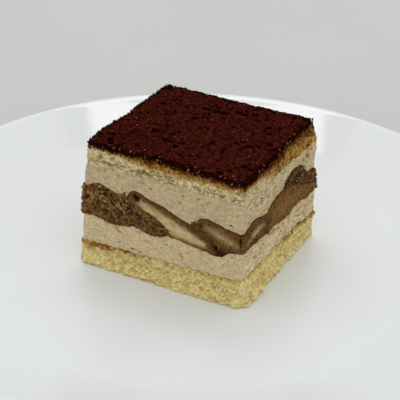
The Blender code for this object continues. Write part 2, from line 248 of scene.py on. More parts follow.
class Noise:
    """Smooth noise between -1 and 1 from a seeded table of values."""

    def __init__(self, seed):
        self.values = np.random.default_rng(seed).random(LATTICE) * 2.0 - 1.0

    def at(self, points, size):
        """points is (..., 3) in millimetres, size the width of one lump."""
        places = points / size
        cell = np.floor(places)
        share = smooth(places - cell)
        cell = cell.astype(np.int64)
        total = 0.0
        for corner in range(8):
            step = np.array([corner & 1, corner >> 1 & 1, corner >> 2 & 1])
            key = (cell + step) * SCRAMBLE
            key = (key[..., 0] ^ key[..., 1] ^ key[..., 2]) & (LATTICE - 1)
            weight = np.prod(np.where(step, share, 1.0 - share), axis=-1)
            total = total + weight * self.values[key]
        return total

    def layered(self, points, size, octaves=3, fall=0.55):
        total, weight, norm = 0.0, 1.0, 0.0
        for _ in range(octaves):
            total = total + weight * self.at(points, size)
            norm += weight
            size, weight = size / 2.03, weight * fall
        return total / norm


UNEVEN = Noise(11)
RAGGED = Noise(23)
CRUMBLY = Noise(37)


def corner_mix(values, u, v):
    """The mix of four corner values: front left, front right, back right, back left."""
    front = values[0] + (values[1] - values[0]) * u
    back = values[3] + (values[2] - values[3]) * u
    return front + (back - front) * v


def along(outline, at):
    return np.interp(at, [p[0] for p in outline], [p[1] for p in outline])


def flat_points(x, y, z=0.0):
    return np.stack(np.broadcast_arrays(x, y, z), axis=-1).astype(float)


def xyz(points):
    return points[..., 0], points[..., 1], points[..., 2]


def on_right(x, y):
    """True at points of the short cut face."""
    return (x > -NEAR_FACE) & (y > NEAR_FACE)


def left_edge(x):
    """1 at the left face, falling to 0 within 1 mm of it."""
    return smooth(-LENGTH + 1.2 - x)


def ragged(x, y, size, height, shift):
    """A crumbly border between two layers, height millimetres up and down."""
    return height * RAGGED.layered(flat_points(x, y, shift), size, 3, 0.7)


def level(corners, x, y, phase):
    """A gently swelling face between four corner heights."""
    swell = np.sin(x / 11.0 + phase) * np.cos(y / 13.0 + 2.0 * phase)
    return corner_mix(corners, 1.0 + x / LENGTH, y / DEPTH) + 0.6 * swell


def band_face(front, right, even, x, y):
    """One face of the soaked band: the long face's outline, and right of STRIP_LEFT the short's."""
    moved = x - DRIFT * y / DEPTH * np.sin(math.pi * np.clip(1.0 + x / LENGTH, 0.0, 1.0))
    run = along(front, moved)
    run = run + (even + BACK_SHARE * (run - even) - run) * smooth(y / DEPTH)
    side = along(right, y) + (along(front, x) - front[-1][1]) * (1.0 - smooth(y / STRIP_START))
    reach = smooth((x - STRIP_LEFT) / 5.0)
    near = y < STRIP_START
    reach = np.where(near, 1.0 - (1.0 - reach) * smooth(y / STRIP_START), reach)
    return np.where(moved <= STRIP_LEFT, run, run + (side - run) * reach)


def base_top(x, y):
    return level(BASE_TOP, x, y, 0.4) + ragged(x, y, 3.4, 1.0, 5.0) + ragged(x, y, 1.1, 0.5, 9.0)


def band_bottom(x, y):
    torn = smooth((x + 6.0) / 4.0) * smooth((y - 16.0) / 6.0)
    return (
        band_face(FRONT_FLOOR, RIGHT_FLOOR, BACK_FLOOR, x, y)
        + ragged(x, y, 2.0, 0.5, 40.0)
        + ragged(x, y, 0.9, 0.25, 42.0)
        + torn * ragged(x, y, 2.6, 1.3, 45.0)
    )


def band_top(x, y):
    return (
        band_face(FRONT_CEILING, RIGHT_CEILING, BACK_CEILING, x, y)
        + ragged(x, y, 2.2, 0.35, 80.0)
        + ragged(x, y, 0.9, 0.25, 82.0)
    )


def cream_top(x, y):
    return level(CREAM_TOP, x, y, 2.1) + ragged(x, y, 2.4, 0.9, 120.0)


def sponge_top(x, y):
    return level(SPONGE_TOP, x, y, 1.3) + ragged(x, y, 1.7, 0.85, 160.0) + ragged(x, y, 5.0, 0.6, 170.0)


def cocoa_top(x, y):
    return level(COCOA_TOP, x, y, 1.3) + 0.18 * UNEVEN.layered(flat_points(x, y, 200.0), 6.0, 3)


def offcut_bed(x, y):
    return along(OFFCUT_BED, y) + 0.5 * UNEVEN.at(flat_points(x, y, 300.0), 3.0)


def joint(outline, y, z):
    """The x of a slanted joint at a depth and a height."""
    wave = 0.5 * UNEVEN.at(flat_points(60.0, y, z), 5.0)
    return along(outline, z) + DRIFT * y / DEPTH + wave * smooth(y / 4.0) * smooth((DEPTH - y) / 4.0)


def to_row(points):
    """Points of the slice's box, with the lean of its cut faces, in the row frame in metres."""
    x, y, z = xyz(points)
    u, v, rise = 1.0 + x / LENGTH, y / DEPTH, z / HEIGHT
    lean = [
        corner_mix([c[k] for c in FOOT_CORNERS], u, v) * (1.0 - rise)
        + corner_mix([c[k] for c in TOP_CORNERS], u, v) * rise
        for k in (0, 1)
    ]
    top_bow = 1.7 * smooth(1.0 - np.abs(y - 13.0) / 17.0) * smooth((z - 42.0) / 12.0)
    left = along(LEFT_BOW, z) * (1.0 - smooth(y / 28.0)) + top_bow
    right = along(RIGHT_BOW, z) * smooth((y - 44.0) / 16.0)
    bow = right * np.clip(u, 0.0, 1.2) ** 6 - left * np.clip(1.0 - u, 0.0, 1.2) ** 6
    return np.stack([CORNER[0] + x + lean[0] + bow, CORNER[1] + y + lean[1], FLOOR + z], -1) * MM


# ---------------------------------------------------------------------------- closed food blocks


class Block:
    """A block of food between four side faces, a floor and a ceiling, as rings of wall points.

    sides holds x(y, z) for left and right and y(x, z) for front and back. cut names the sides that
    the knife made: those are finely meshed and take detail, the others stay hidden and plain.
    """

    def __init__(self, sides, floor, ceiling, cut, step, rounding=1.0, capped=False):
        self.step = step
        middle = (-LENGTH / 2.0, DEPTH / 2.0)
        z_mid = float(floor(*middle) + ceiling(*middle)) / 2.0
        left = float(sides["left"](middle[1], z_mid))
        right = float(sides["right"](middle[1], z_mid))
        front = float(sides["front"](middle[0], z_mid))
        back = float(sides["back"](middle[0], z_mid))
        span = (right - left, back - front)
        self.counts = counts = {}
        for side in ALL_CUT:
            size = step if side in cut or capped else HIDDEN_STEP
            counts[side] = max(int(round(span[side in ("right", "left")] / size)), 4)
        u, v, owner = [], [], []
        for side, start, way in (
            ("front", (0.0, 0.0), (1.0, 0.0)),
            ("right", (1.0, 0.0), (0.0, 1.0)),
            ("back", (1.0, 1.0), (-1.0, 0.0)),
            ("left", (0.0, 1.0), (0.0, -1.0)),
        ):
            share = np.arange(counts[side]) / counts[side]
            u.append(start[0] + way[0] * share)
            v.append(start[1] + way[1] * share)
            owner.append(np.full(counts[side], side in cut))
        u, v = np.concatenate(u), np.concatenate(v)
        self.fine = np.concatenate(owner).astype(float)
        self.radii = np.full((2, 2), HIDDEN_ROUNDING)
        for j, side in enumerate(("front", "back")):
            for i, end in enumerate(("left", "right")):
                if side in cut and end in cut:
                    self.radii[j, i] = rounding
        self.u, self.v, self.normal = self.rounded(u, v, span)
        self.sides, self.floor, self.ceiling, self.span = sides, floor, ceiling, span
        x, y = self.rough_place(self.u, self.v)
        heights = ceiling(x, y) - floor(x, y)
        self.rows = max(int(round(float(np.percentile(heights, 70)) / step)), 5)
        share = np.linspace(0.0, 1.0, self.rows + 1)[:, None]
        self.share = np.broadcast_to(share, (self.rows + 1, len(self.u)))
        self.points = self.place(self.u[None, :], self.v[None, :], share)
        x, y, _ = xyz(self.points)
        self.outer = 1.0 - smooth(np.min([x + LENGTH, -x, y, DEPTH - y], axis=0) / PUSH_REACH)

    def rounded(self, u, v, span):
        """The square's edge with its corners rounded, and the outward normal in plan."""
        radius = self.radii[(v >= 0.5).astype(int), (u >= 0.5).astype(int)]
        px, py = u * span[0], v * span[1]
        sx, sy = np.where(u < 0.5, -1.0, 1.0), np.where(v < 0.5, -1.0, 1.0)
        dx, dy = np.minimum(px, span[0] - px), np.minimum(py, span[1] - py)
        a, b = np.clip(radius - dx, 0.0, None), np.clip(radius - dy, 0.0, None)
        a2 = a * np.sqrt(np.clip(1.0 - (b / radius) ** 2 / 2.0, 0.0, 1.0))
        b2 = b * np.sqrt(np.clip(1.0 - (a / radius) ** 2 / 2.0, 0.0, 1.0))
        px = px + sx * (a2 - a)
        py = py + sy * (b2 - b)
        normal = np.stack([sx * a2, sy * b2], -1)
        size = np.maximum(np.linalg.norm(normal, axis=-1, keepdims=True), 1e-6)
        return px / span[0], py / span[1], normal / size

    def rough_place(self, u, v):
        z = MIDDLE_HEIGHT
        x = self.sides["left"](v * DEPTH, z) * (1.0 - u) + self.sides["right"](v * DEPTH, z) * u
        y = self.sides["front"](x, z) * (1.0 - v) + self.sides["back"](x, z) * v
        return x, y

    def place(self, u, v, share):
        """Points from their shares of the width, depth and height."""
        u, v, share = np.broadcast_arrays(u, v, share)
        x, y = self.rough_place(u, v)
        for _ in range(5):
            z = self.floor(x, y) + (self.ceiling(x, y) - self.floor(x, y)) * share
            x = self.sides["left"](y, z) * (1.0 - u) + self.sides["right"](y, z) * u
            y = self.sides["front"](x, z) * (1.0 - v) + self.sides["back"](x, z) * v
        return np.stack([x, y, z], -1)

    def pushed(self, amount):
        """The wall's points moved outwards by amount, which has a value for each point."""
        moved = self.points.copy()
        moved[..., :2] += self.normal[None] * (amount * self.outer)[..., None]
        return moved

    def hole(self, side, place, height, wide, high, depth):
        """The depth at each wall point of one hole in a cut face."""
        x, y, z = xyz(self.points)
        if side == "front":
            run, facing = x - place, y < 1.2
        else:
            run, facing = y - place, x > -1.2
        warp = UNEVEN.at(self.points, 0.9) * 0.25
        reach = 1.0 - (run / wide) ** 2 - ((z - height) / high) ** 2 + warp
        return np.where(facing, depth * np.sqrt(np.clip(reach, 0.0, 1.0)), 0.0)

    def with_holes(self, hollow, holes):
        """hollow, made deeper where a table of single holes says."""
        for side, places in holes.items():
            for place in places:
                hollow = np.maximum(hollow, self.hole(side, *place))
        return hollow

    def patches(self, shift, size, octaves, gain, bias):
        """A broken mask of ragged patches."""
        return smooth(RAGGED.layered(self.points + shift, size, octaves) * gain + bias)

    def grain(self, rng):
        return np.clip(rng.standard_normal(self.share.shape), -2.0, 2.0)

    def pits(self, rng, per_mm2, radii, depth, stretch=1.0, power=2.0, where=None):
        """The depth at each wall point of many scattered pits."""
        rows, cols = self.share.shape
        area = rows * self.step * float(self.fine.sum()) * self.step
        count = int(area * per_mm2)
        found = np.zeros((rows, cols))
        fine = np.nonzero(self.fine)[0]
        for _ in range(count):
            row = rng.uniform(0, rows)
            col = fine[rng.integers(len(fine))] + rng.random()
            if where is not None and where[min(int(row), rows - 1), int(col) % cols] < rng.random():
                continue
            size = radii[0] + (radii[1] - radii[0]) * rng.random() ** power
            wide = size * (1.0 + (stretch - 1.0) * rng.random()) / self.step
            high = size * rng.uniform(0.7, 1.0) / self.step
            tilt = rng.uniform(-0.35, 0.35)
            reach_r, reach_c = int(high + 1.5), int(wide + 1.5)
            r = np.arange(max(int(row) - reach_r, 0), min(int(row) + reach_r + 1, rows))
            c = np.arange(int(col) - reach_c, int(col) + reach_c + 1)
            if not len(r):
                continue
            dr = (r[:, None] - row) + tilt * (c[None, :] - col)
            dc = c[None, :] - col
            inside = 1.0 - (dr / high) ** 2 - (dc / wide) ** 2
            hollow = depth * size * np.sqrt(np.clip(inside, 0.0, 1.0))
            spot = np.ix_(r, c % cols)
            found[spot] = np.maximum(found[spot], hollow)
        return found

    def mesh(self, wall, top=None):
        """Points, quads and triangles of the closed block. top gives a capped block's fine lid."""
        rows, cols = self.share.shape
        points = [wall.reshape(-1, 3)]
        index = np.arange(rows * cols).reshape(rows, cols)
        after = np.roll(index, -1, axis=1)
        quads = [np.stack([index[:-1], after[:-1], after[1:], index[1:]], -1).reshape(-1, 4)]
        middle = self.place(np.array([0.5]), np.array([0.5]), np.array([0.0, 1.0]))
        foot = rows * cols
        points.append(middle[:1])
        ring, follow = index[0], after[0]
        tris = [np.stack([np.full(cols, foot), follow, ring], -1)]
        if top is None:
            points.append(middle[1:])
            ring, follow = index[-1], after[-1]
            tris.append(np.stack([np.full(cols, foot + 1), ring, follow], -1))
        else:
            nx, ny = self.counts["front"], self.counts["right"]
            grid = np.zeros((ny + 1, nx + 1), int)
            rim = index[-1]
            grid[0, :nx] = rim[:nx]
            grid[:ny, nx] = rim[nx : nx + ny]
            grid[ny, nx:0:-1] = rim[nx + ny : 2 * nx + ny]
            grid[ny:0:-1, 0] = rim[2 * nx + ny :]
            grid[1:ny, 1:nx] = foot + 1 + np.arange((ny - 1) * (nx - 1)).reshape(ny - 1, nx - 1)
            points.append(top.reshape(-1, 3))
            lid = [grid[:-1, :-1], grid[:-1, 1:], grid[1:, 1:], grid[1:, :-1]]
            quads.append(np.stack(lid, -1).reshape(-1, 4))
        return np.concatenate(points), np.concatenate(quads), np.concatenate(tris)


def cut_sides(stand_out=0.0):
    """The four cut faces of a layer that fills the whole slice."""
    return {
        "left": lambda y, z: -LENGTH - stand_out + 0.0 * y,
        "right": lambda y, z: stand_out + 0.0 * y,
        "front": lambda x, z: -stand_out + 0.0 * x,
        "back": lambda x, z: DEPTH + stand_out + 0.0 * x,
    }


def add_piece(name, points, quads, tris, material, nodes=(), masks=None, sharp=None):
    """A mesh piece from points in metres, riding on the part's one body."""
    mesh = bpy.data.meshes.new(name)
    mesh.from_pydata(points.tolist(), [], quads.tolist() + tris.tolist())
    mesh.validate()
    for key, values in (masks or {}).items():
        layer = mesh.attributes.new(key, "FLOAT", "POINT")
        layer.data.foreach_set("value", np.clip(values, 0.0, 1.0).astype(np.float32))
    mesh.shade_smooth()
    if sharp:
        mesh.set_sharp_from_angle(angle=math.radians(sharp))
    mesh.materials.append(material)
    piece = bpy.data.objects.new(name, mesh)
    bpy.context.scene.collection.objects.link(piece)
    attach(piece, "root")
    if nodes:
        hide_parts(*nodes)


def add_block(name, block, amount, masks, material, nodes, top=None, sharp=55.0):
    """A block as a piece. A mask has a value for each wall point, and maybe a second array for
    the points after them, which are 0 without it."""
    wall = block.pushed(amount)
    points, quads, tris = block.mesh(wall, top)
    rest = len(points) - wall[..., 0].size
    full = {}
    for key, values in masks.items():
        lid = values[1] if isinstance(values, tuple) else np.zeros(rest)
        wall_values = values[0] if isinstance(values, tuple) else values
        full[key] = np.concatenate([np.broadcast_to(wall_values, block.share.shape).ravel(), lid])
    add_piece(name, to_row(points), quads, tris, material, nodes, full, sharp)


def edge_round(block, size):
    """How far the wall draws in next to the block's floor and ceiling, in millimetres."""
    height = block.rows * block.step
    near = np.minimum(block.share, 1.0 - block.share) * height
    return size * (1.0 - smooth(near / (1.6 * size))) ** 1.5


# ------------------------------------------------------------------------------------- materials


def add(tree, kind, sockets=None, **settings):
    """Adds a node and fills its sockets: a socket value is linked, anything else is set."""
    node = tree.nodes.new(kind)
    for key, value in settings.items():
        setattr(node, key, value)
    for key, value in (sockets or {}).items():
        if isinstance(value, bpy.types.NodeSocket):
            tree.links.new(value, node.inputs[key])
        else:
            node.inputs[key].default_value = value
    return node


def calculate(tree, operation, first, second):
    return add(tree, "ShaderNodeMath", {0: first, 1: second}, operation=operation).outputs[0]


def map_range(tree, value, low, high, to_low=0.0, to_high=1.0):
    names = ("Value", "From Min", "From Max", "To Min", "To Max")
    sockets = dict(zip(names, (value, low, high, to_low, to_high)))
    return add(tree, "ShaderNodeMapRange", sockets).outputs["Result"]


def effect(name, numbers, outputs, build):
    """A shader group with named sockets, made once. build fills it and gives its outputs."""
    if name in bpy.data.node_groups:
        return bpy.data.node_groups[name]
    tree = bpy.data.node_groups.new(name, "ShaderNodeTree")
    tree.interface.new_socket("Vector", in_out="INPUT", socket_type="NodeSocketVector")
    for label, default in numbers.items():
        socket = tree.interface.new_socket(label, in_out="INPUT", socket_type="NodeSocketFloat")
        socket.default_value = default
    for label in outputs:
        tree.interface.new_socket(label, in_out="OUTPUT", socket_type="NodeSocketFloat")
    given, out = tree.nodes.new("NodeGroupInput").outputs, tree.nodes.new("NodeGroupOutput").inputs
    for label, socket in zip(outputs, build(tree, given)):
        tree.links.new(socket, out[label])
    return tree


def build_lumps(tree, given):
    """Soft lumps of one size: a mask between two thresholds, and the plain height."""
    sockets = {
        "Vector": given["Vector"],
        "Scale": given["Per metre"],
        "Detail": 4.0,
        "Roughness": given["Roughness"],
    }
    height = add(tree, "ShaderNodeTexNoise", sockets).outputs["Fac"]
    return map_range(tree, height, given["Low"], given["High"]), height


def build_pores(tree, given):
    """Small round pores: 1 in a pore and 0 around it, with a share of them left out."""
    sockets = {"Vector": given["Vector"], "Scale": given["Per metre"], "Randomness": 1.0}
    cells = add(tree, "ShaderNodeTexVoronoi", sockets).outputs
    split = add(tree, "ShaderNodeSeparateColor", {"Color": cells["Color"]})
    chosen = calculate(tree, "LESS_THAN", split.outputs["Red"], given["Share"])
    core = calculate(tree, "MULTIPLY", given["Width"], 0.35)
    hole = map_range(tree, cells["Distance"], core, given["Width"], 1.0, 0.0)
    return (calculate(tree, "MULTIPLY", hole, chosen),)


LUMP_NUMBERS = {"Per metre": 500.0, "Roughness": 0.5, "Low": 0.4, "High": 0.6}
PORE_NUMBERS = {"Per metre": 900.0, "Width": 0.25, "Share": 0.4}


class Finish:
    """A Principled material that is built up from colour layers and bumps."""

    def __init__(self, name, roughness, specular=0.5):
        self.material = bpy.data.materials.new(name)
        self.material.use_nodes = True
        self.tree = self.material.node_tree
        self.shader = self.tree.nodes["Principled BSDF"]
        self.shader.inputs["Roughness"].default_value = roughness
        self.shader.inputs["Specular IOR Level"].default_value = specular
        self.place = add(self.tree, "ShaderNodeTexCoord").outputs["Object"]
        self.colour = None
        self.normal = None

    def stretched(self, x, y, z, source=None):
        sockets = {0: source or self.place, 1: (x, y, z)}
        return add(self.tree, "ShaderNodeVectorMath", sockets, operation="MULTIPLY").outputs["Vector"]

    def slanted(self, along_y, across):
        """Coordinates that are stretched along the drag of the knife at the short cut face."""
        sockets = {"Vector": self.place, "Angle": KNIFE_DRAG}
        turned = add(self.tree, "ShaderNodeVectorRotate", sockets, rotation_type="X_AXIS")
        return self.stretched(1.6, along_y, across, turned.outputs["Vector"])

    def mask(self, name):
        settings = {"attribute_name": name, "attribute_type": "GEOMETRY"}
        return add(self.tree, "ShaderNodeAttribute", **settings).outputs["Fac"]

    def group(self, name, numbers, outputs, build, vector, values):
        """The outputs of a shared effect in this material."""
        tree = effect(name, numbers, outputs, build)
        sockets = {"Vector": vector or self.place, **dict(zip(numbers, values))}
        return add(self.tree, "ShaderNodeGroup", sockets, node_tree=tree).outputs

    def lumps(self, per_metre, low=0.4, high=0.6, roughness=0.5, vector=None, output="Mask"):
        values = (per_metre, roughness, low, high)
        return self.group("Lumps", LUMP_NUMBERS, ("Mask", "Height"), build_lumps, vector, values)[output]

    def height(self, per_metre, roughness, vector=None):
        return self.lumps(per_metre, roughness=roughness, vector=vector, output="Height")

    def pores(self, per_metre, width, share, vector=None):
        values = (per_metre, width, share)
        return self.group("Pores", PORE_NUMBERS, ("Mask",), build_pores, vector, values)["Mask"]

    def times(self, first, second):
        return calculate(self.tree, "MULTIPLY", first, second)

    def plus(self, first, second):
        return calculate(self.tree, "ADD", first, second)

    def ranged(self, mask, low, high, to_low=0.0, to_high=1.0):
        return map_range(self.tree, mask, low, high, to_low, to_high)

    def tint(self, colour, mask=None, amount=None):
        """Lays a colour over what is there, as far as mask says, times amount."""
        colour = (*colour, 1.0)
        if self.colour is None:
            node = add(self.tree, "ShaderNodeRGB")
            node.outputs[0].default_value = colour
            self.colour = node.outputs[0]
            return
        if amount is not None:
            mask = self.times(mask, amount)
        node = add(self.tree, "ShaderNodeMix", data_type="RGBA")
        self.tree.links.new(mask, node.inputs["Factor"])
        self.tree.links.new(self.colour, node.inputs[6])
        node.inputs[7].default_value = colour
        self.colour = node.outputs[2]

    def bump(self, height, depth, strength):
        """Adds a bump of a depth in millimetres to the ones that are there."""
        sockets = {"Height": height, "Distance": depth * MM, "Strength": strength}
        if self.normal is not None:
            sockets["Normal"] = self.normal
        self.normal = add(self.tree, "ShaderNodeBump", sockets).outputs["Normal"]

    def done(self):
        self.tree.links.new(self.colour, self.shader.inputs["Base Color"])
        if self.normal is not None:
            self.tree.links.new(self.normal, self.shader.inputs["Normal"])
        return self.material


def palette(names, shade=1.0):
    """Colours from the slice's properties, all made darker or lighter by shade."""
    slice_ = bpy.context.scene.tiramisu_slice
    return [tuple(value * shade for value in getattr(slice_, name)) for name in names.split()]


def crumb_finish(name, colours, grain=1000.0, pits=0.8):
    """Baked sponge: pale crumb walls, pores in painted shade and a browned crust where the mask says."""
    body, pale, pore_shade, golden, crust, dark = palette(colours)
    finish = Finish(name, 0.95, 0.05)
    finish.tint(body)
    finish.tint(pale, finish.lumps(grain, 0.40, 0.62, 0.8), 0.95)
    finish.tint(pore_shade, finish.lumps(0.6 * grain, 0.55, 0.64, 0.75), 0.4)
    finish.tint(pore_shade, finish.pores(900.0, 0.3, 0.35), 0.4)
    # Painted shade in the pits, the crack and the deeper parts of the crumb.
    finish.tint(pore_shade, finish.mask("pit"), pits)
    tone = finish.mask("tone")
    uneven = finish.ranged(finish.height(330.0, 0.7), 0.3, 0.7, -0.25, 0.25)
    fine = finish.ranged(finish.height(1000.0, 0.7), 0.3, 0.7, -0.3, 0.3)
    broken = finish.plus(finish.plus(tone, uneven), fine)
    baked = finish.ranged(tone, 0.02, 0.15)
    finish.tint(golden, finish.times(finish.ranged(broken, -0.05, 0.35), baked))
    finish.tint(crust, finish.times(finish.ranged(broken, 0.3, 0.7), baked))
    spots = finish.times(finish.lumps(600.0, 0.52, 0.60, 0.7), finish.ranged(tone, 0.1, 0.4))
    finish.tint(dark, spots, 0.8)
    finish.tint(dark, finish.times(finish.ranged(broken, 0.6, 0.95), baked))
    finish.bump(finish.height(1900.0, 0.8), 0.4, 1.0)
    return finish.done()


def cream_finish(name, shade):
    """Coffee cream: smooth, with pinhole pores and short cuts in painted shade, and smears of coffee."""
    names = "cream_body cream_pale cream_pore cream_smear cream_grey cream_blush"
    body, pale, pore_shade, smear, grey, blush = palette(names, shade)
    finish = Finish(name, 0.7, 0.15)
    finish.tint(body)
    finish.tint(pale, finish.lumps(160.0, 0.4, 0.62, 0.6), 0.35)
    finish.tint(blush, finish.lumps(210.0, 0.52, 0.66, 0.6), 0.5)
    finish.tint(grey, finish.lumps(95.0, 0.54, 0.70, 0.5), 0.7)
    flat = finish.stretched(0.85, 0.7, 1.15)
    finish.tint(pale, finish.lumps(700.0, 0.49, 0.58, 0.7, flat), 0.9)
    finish.tint(pore_shade, finish.lumps(760.0, 0.53, 0.63, 0.7, flat), 0.3)
    # On the short cut face the knife's drag is painted: darker grooves as painted shade, lighter ridges
    # as painted highlight.
    side = finish.mask("side")
    dragged = finish.lumps(420.0, 0.54, 0.63, 0.7, finish.slanted(0.3, 2.2))
    finish.tint(pore_shade, finish.times(dragged, side), 0.36)
    raised = finish.lumps(440.0, 0.50, 0.58, 0.7, finish.slanted(0.35, 2.2))
    lit = tuple(min(value * 1.28, 1.0) for value in pale)
    finish.tint(lit, finish.times(raised, side), 0.8)
    # Pinholes painted in the pores' shade, with no hole in the mesh under them.
    finish.tint(pore_shade, finish.pores(440.0, 0.19, 0.42, flat), 0.95)
    finish.tint(pore_shade, finish.pores(900.0, 0.28, 0.35), 0.6)
    patchy = finish.ranged(finish.height(900.0, 0.7), 0.4, 0.6, 0.2, 1.0)
    finish.tint(smear, finish.times(finish.mask("tone"), patchy), 0.7)
    # Painted shade in the cream's holes and cuts.
    finish.tint(pore_shade, finish.ranged(finish.mask("pit"), 0.2, 1.0), 0.9)
    finish.bump(finish.height(700.0, 0.6, flat), 0.25, 0.8)
    finish.bump(finish.height(1500.0, 0.6), 0.1, 0.8)
    return finish.done()


def soaked_finish():
    """Sponge soaked in coffee: dark and wet, with drier crumb walls, an orange rim and pits in painted
    shade.
    """
    names = "soaked_body soaked_light soaked_black soaked_rim soaked_speck"
    body, light, black, rim, speck = palette(names)
    finish = Finish("coffee_soaked_sponge", 0.65, 0.08)
    finish.tint(body)
    finish.tint(black, finish.lumps(240.0, 0.50, 0.66, 0.6), 0.4)
    finish.tint(rim, finish.lumps(420.0, 0.52, 0.64, 0.7), 0.22)
    dry = finish.ranged(finish.mask("dry"), 0.0, 1.0, 0.25, 1.0)
    finish.tint(light, finish.times(finish.lumps(760.0, 0.49, 0.57, 0.7), dry), 0.95)
    patchy = finish.ranged(finish.height(640.0, 0.7), 0.35, 0.6, 0.1, 1.0)
    finish.tint(rim, finish.times(finish.mask("tone"), patchy), 0.85)
    finish.tint(black, finish.lumps(680.0, 0.52, 0.58, 0.7), 0.8)
    # Painted shade in the pits and deeper crumb; on the offcut the mask also holds darker patches.
    finish.tint(black, finish.mask("pit"), 0.8)
    finish.tint(speck, finish.times(finish.pores(600.0, 0.36, 0.6), finish.mask("rim")), 0.85)
    finish.bump(finish.height(1500.0, 0.7), 0.3, 0.8)
    return finish.done()


def finger_finish(name, colours):
    """Sponge finger: coffee-brown outside, with a pale core that the coffee didn't reach."""
    body, dark, core, heart, rim, black = palette(colours + " finger_rim soaked_black")
    finish = Finish(name, 0.65, 0.08)
    finish.tint(body)
    finish.tint(dark, finish.lumps(420.0, 0.46, 0.62, 0.65), 0.7)
    finish.tint(rim, finish.mask("rim"), 0.8)
    grain = finish.ranged(finish.lumps(520.0, 0.38, 0.62, 0.7), 0.0, 1.0, -0.1, 0.1)
    broken = finish.plus(finish.mask("tone"), grain)
    finish.tint(core, finish.ranged(broken, 0.0, 0.75))
    streak = finish.lumps(360.0, 0.36, 0.64, 0.6, finish.stretched(0.6, 1.0, 1.5))
    streak = finish.ranged(streak, 0.0, 1.0, 0.45, 1.0)
    finish.tint(heart, finish.times(finish.ranged(broken, 0.4, 1.15), streak))
    # Painted shade in the pits, and painted shadow low on and between the fingers.
    finish.tint(black, finish.ranged(finish.mask("pit"), 0.1, 0.8, 0.0, 0.92))
    finish.bump(finish.height(1300.0, 0.65), 0.22, 0.7)
    return finish.done()


def cocoa_finish():
    """Sifted cocoa: a dry red-brown dust, nearly black where it is moist and, as painted shade, in the
    pits.
    """
    names = "cocoa_body cocoa_light cocoa_black cocoa_moist cocoa_speck"
    body, light, black, moist, speck = palette(names)
    finish = Finish("sifted_cocoa", 1.0, 0.0)
    finish.tint(body)
    finish.tint(light, finish.lumps(680.0, 0.50, 0.60, 0.7), 0.9)
    finish.tint(moist, finish.mask("tone"), 0.8)
    finish.tint(black, finish.lumps(520.0, 0.52, 0.62, 0.7), 0.9)
    # Painted shade in the dents of the lid and on the side walls.
    finish.tint(black, finish.ranged(finish.mask("pit"), 0.1, 0.6, 0.0, 0.98))
    # Painted highlights: pale glints over the coat, and upright ones in clusters at its moist edges.
    few = finish.times(finish.pores(560.0, 0.24, 0.24), finish.lumps(110.0, 0.50, 0.58))
    finish.tint(speck, few, 0.7)
    upright = finish.pores(430.0, 0.34, 0.6, finish.stretched(1.25, 1.25, 0.7))
    clusters = finish.times(upright, finish.lumps(210.0, 0.42, 0.5))
    painted_lighting = finish.times(clusters, finish.ranged(finish.mask("tone"), 0.1, 0.5))
    finish.tint(speck, painted_lighting, 0.8)
    finish.bump(finish.height(1700.0, 0.8), 0.4, 1.0)
    return finish.done()


def glaze_finish(colour, bare):
    """White glazed porcelain, duller where the mask says it is worn, with a bare, matt foot."""
    finish = Finish("white_glaze", 0.05, 0.5)
    finish.tint(colour)
    finish.tint(tuple(value * 0.97 for value in colour), finish.lumps(26.0, 0.42, 0.6, 0.5), 0.5)
    finish.tint(bare, finish.mask("bare"))
    worn = finish.ranged(finish.mask("well"), 0.0, 1.0, 0.055, 0.3)
    roughness = finish.plus(worn, finish.times(finish.mask("bare"), 0.6))
    finish.tree.links.new(roughness, finish.shader.inputs["Roughness"])
    finish.bump(finish.height(55.0, 0.4), 0.05, 0.5)
    return finish.done()


# ------------------------------------------------------------------------------------ properties


def size_prop(name, description, default, low=0.0, high=1.0):
    kind = {"subtype": "DISTANCE", "unit": "LENGTH", "precision": 4, "min": low, "max": high}
    return bpy.props.FloatProperty(name=name, description=description, default=default, **kind)


def count_prop(name, description, default, low, high):
    kind = {"min": low, "max": high}
    return bpy.props.IntProperty(name=name, description=description, default=default, **kind)


def number_prop(name, description, default, high, unit="NONE"):
    kind = {"min": 0.0, "max": high, "unit": unit}
    return bpy.props.FloatProperty(name=name, description=description, default=default, **kind)


def colour_prop(name, default):
    kind = {"size": 3, "min": 0.0, "max": 1.0, "subtype": "COLOR"}
    return bpy.props.FloatVectorProperty(name=name, description=name, default=default, **kind)


def angle_prop(name, description, default):
    kind = {"default": math.radians(default), "subtype": "ANGLE", "unit": "ROTATION"}
    return bpy.props.FloatProperty(name=name, description=description, **kind)


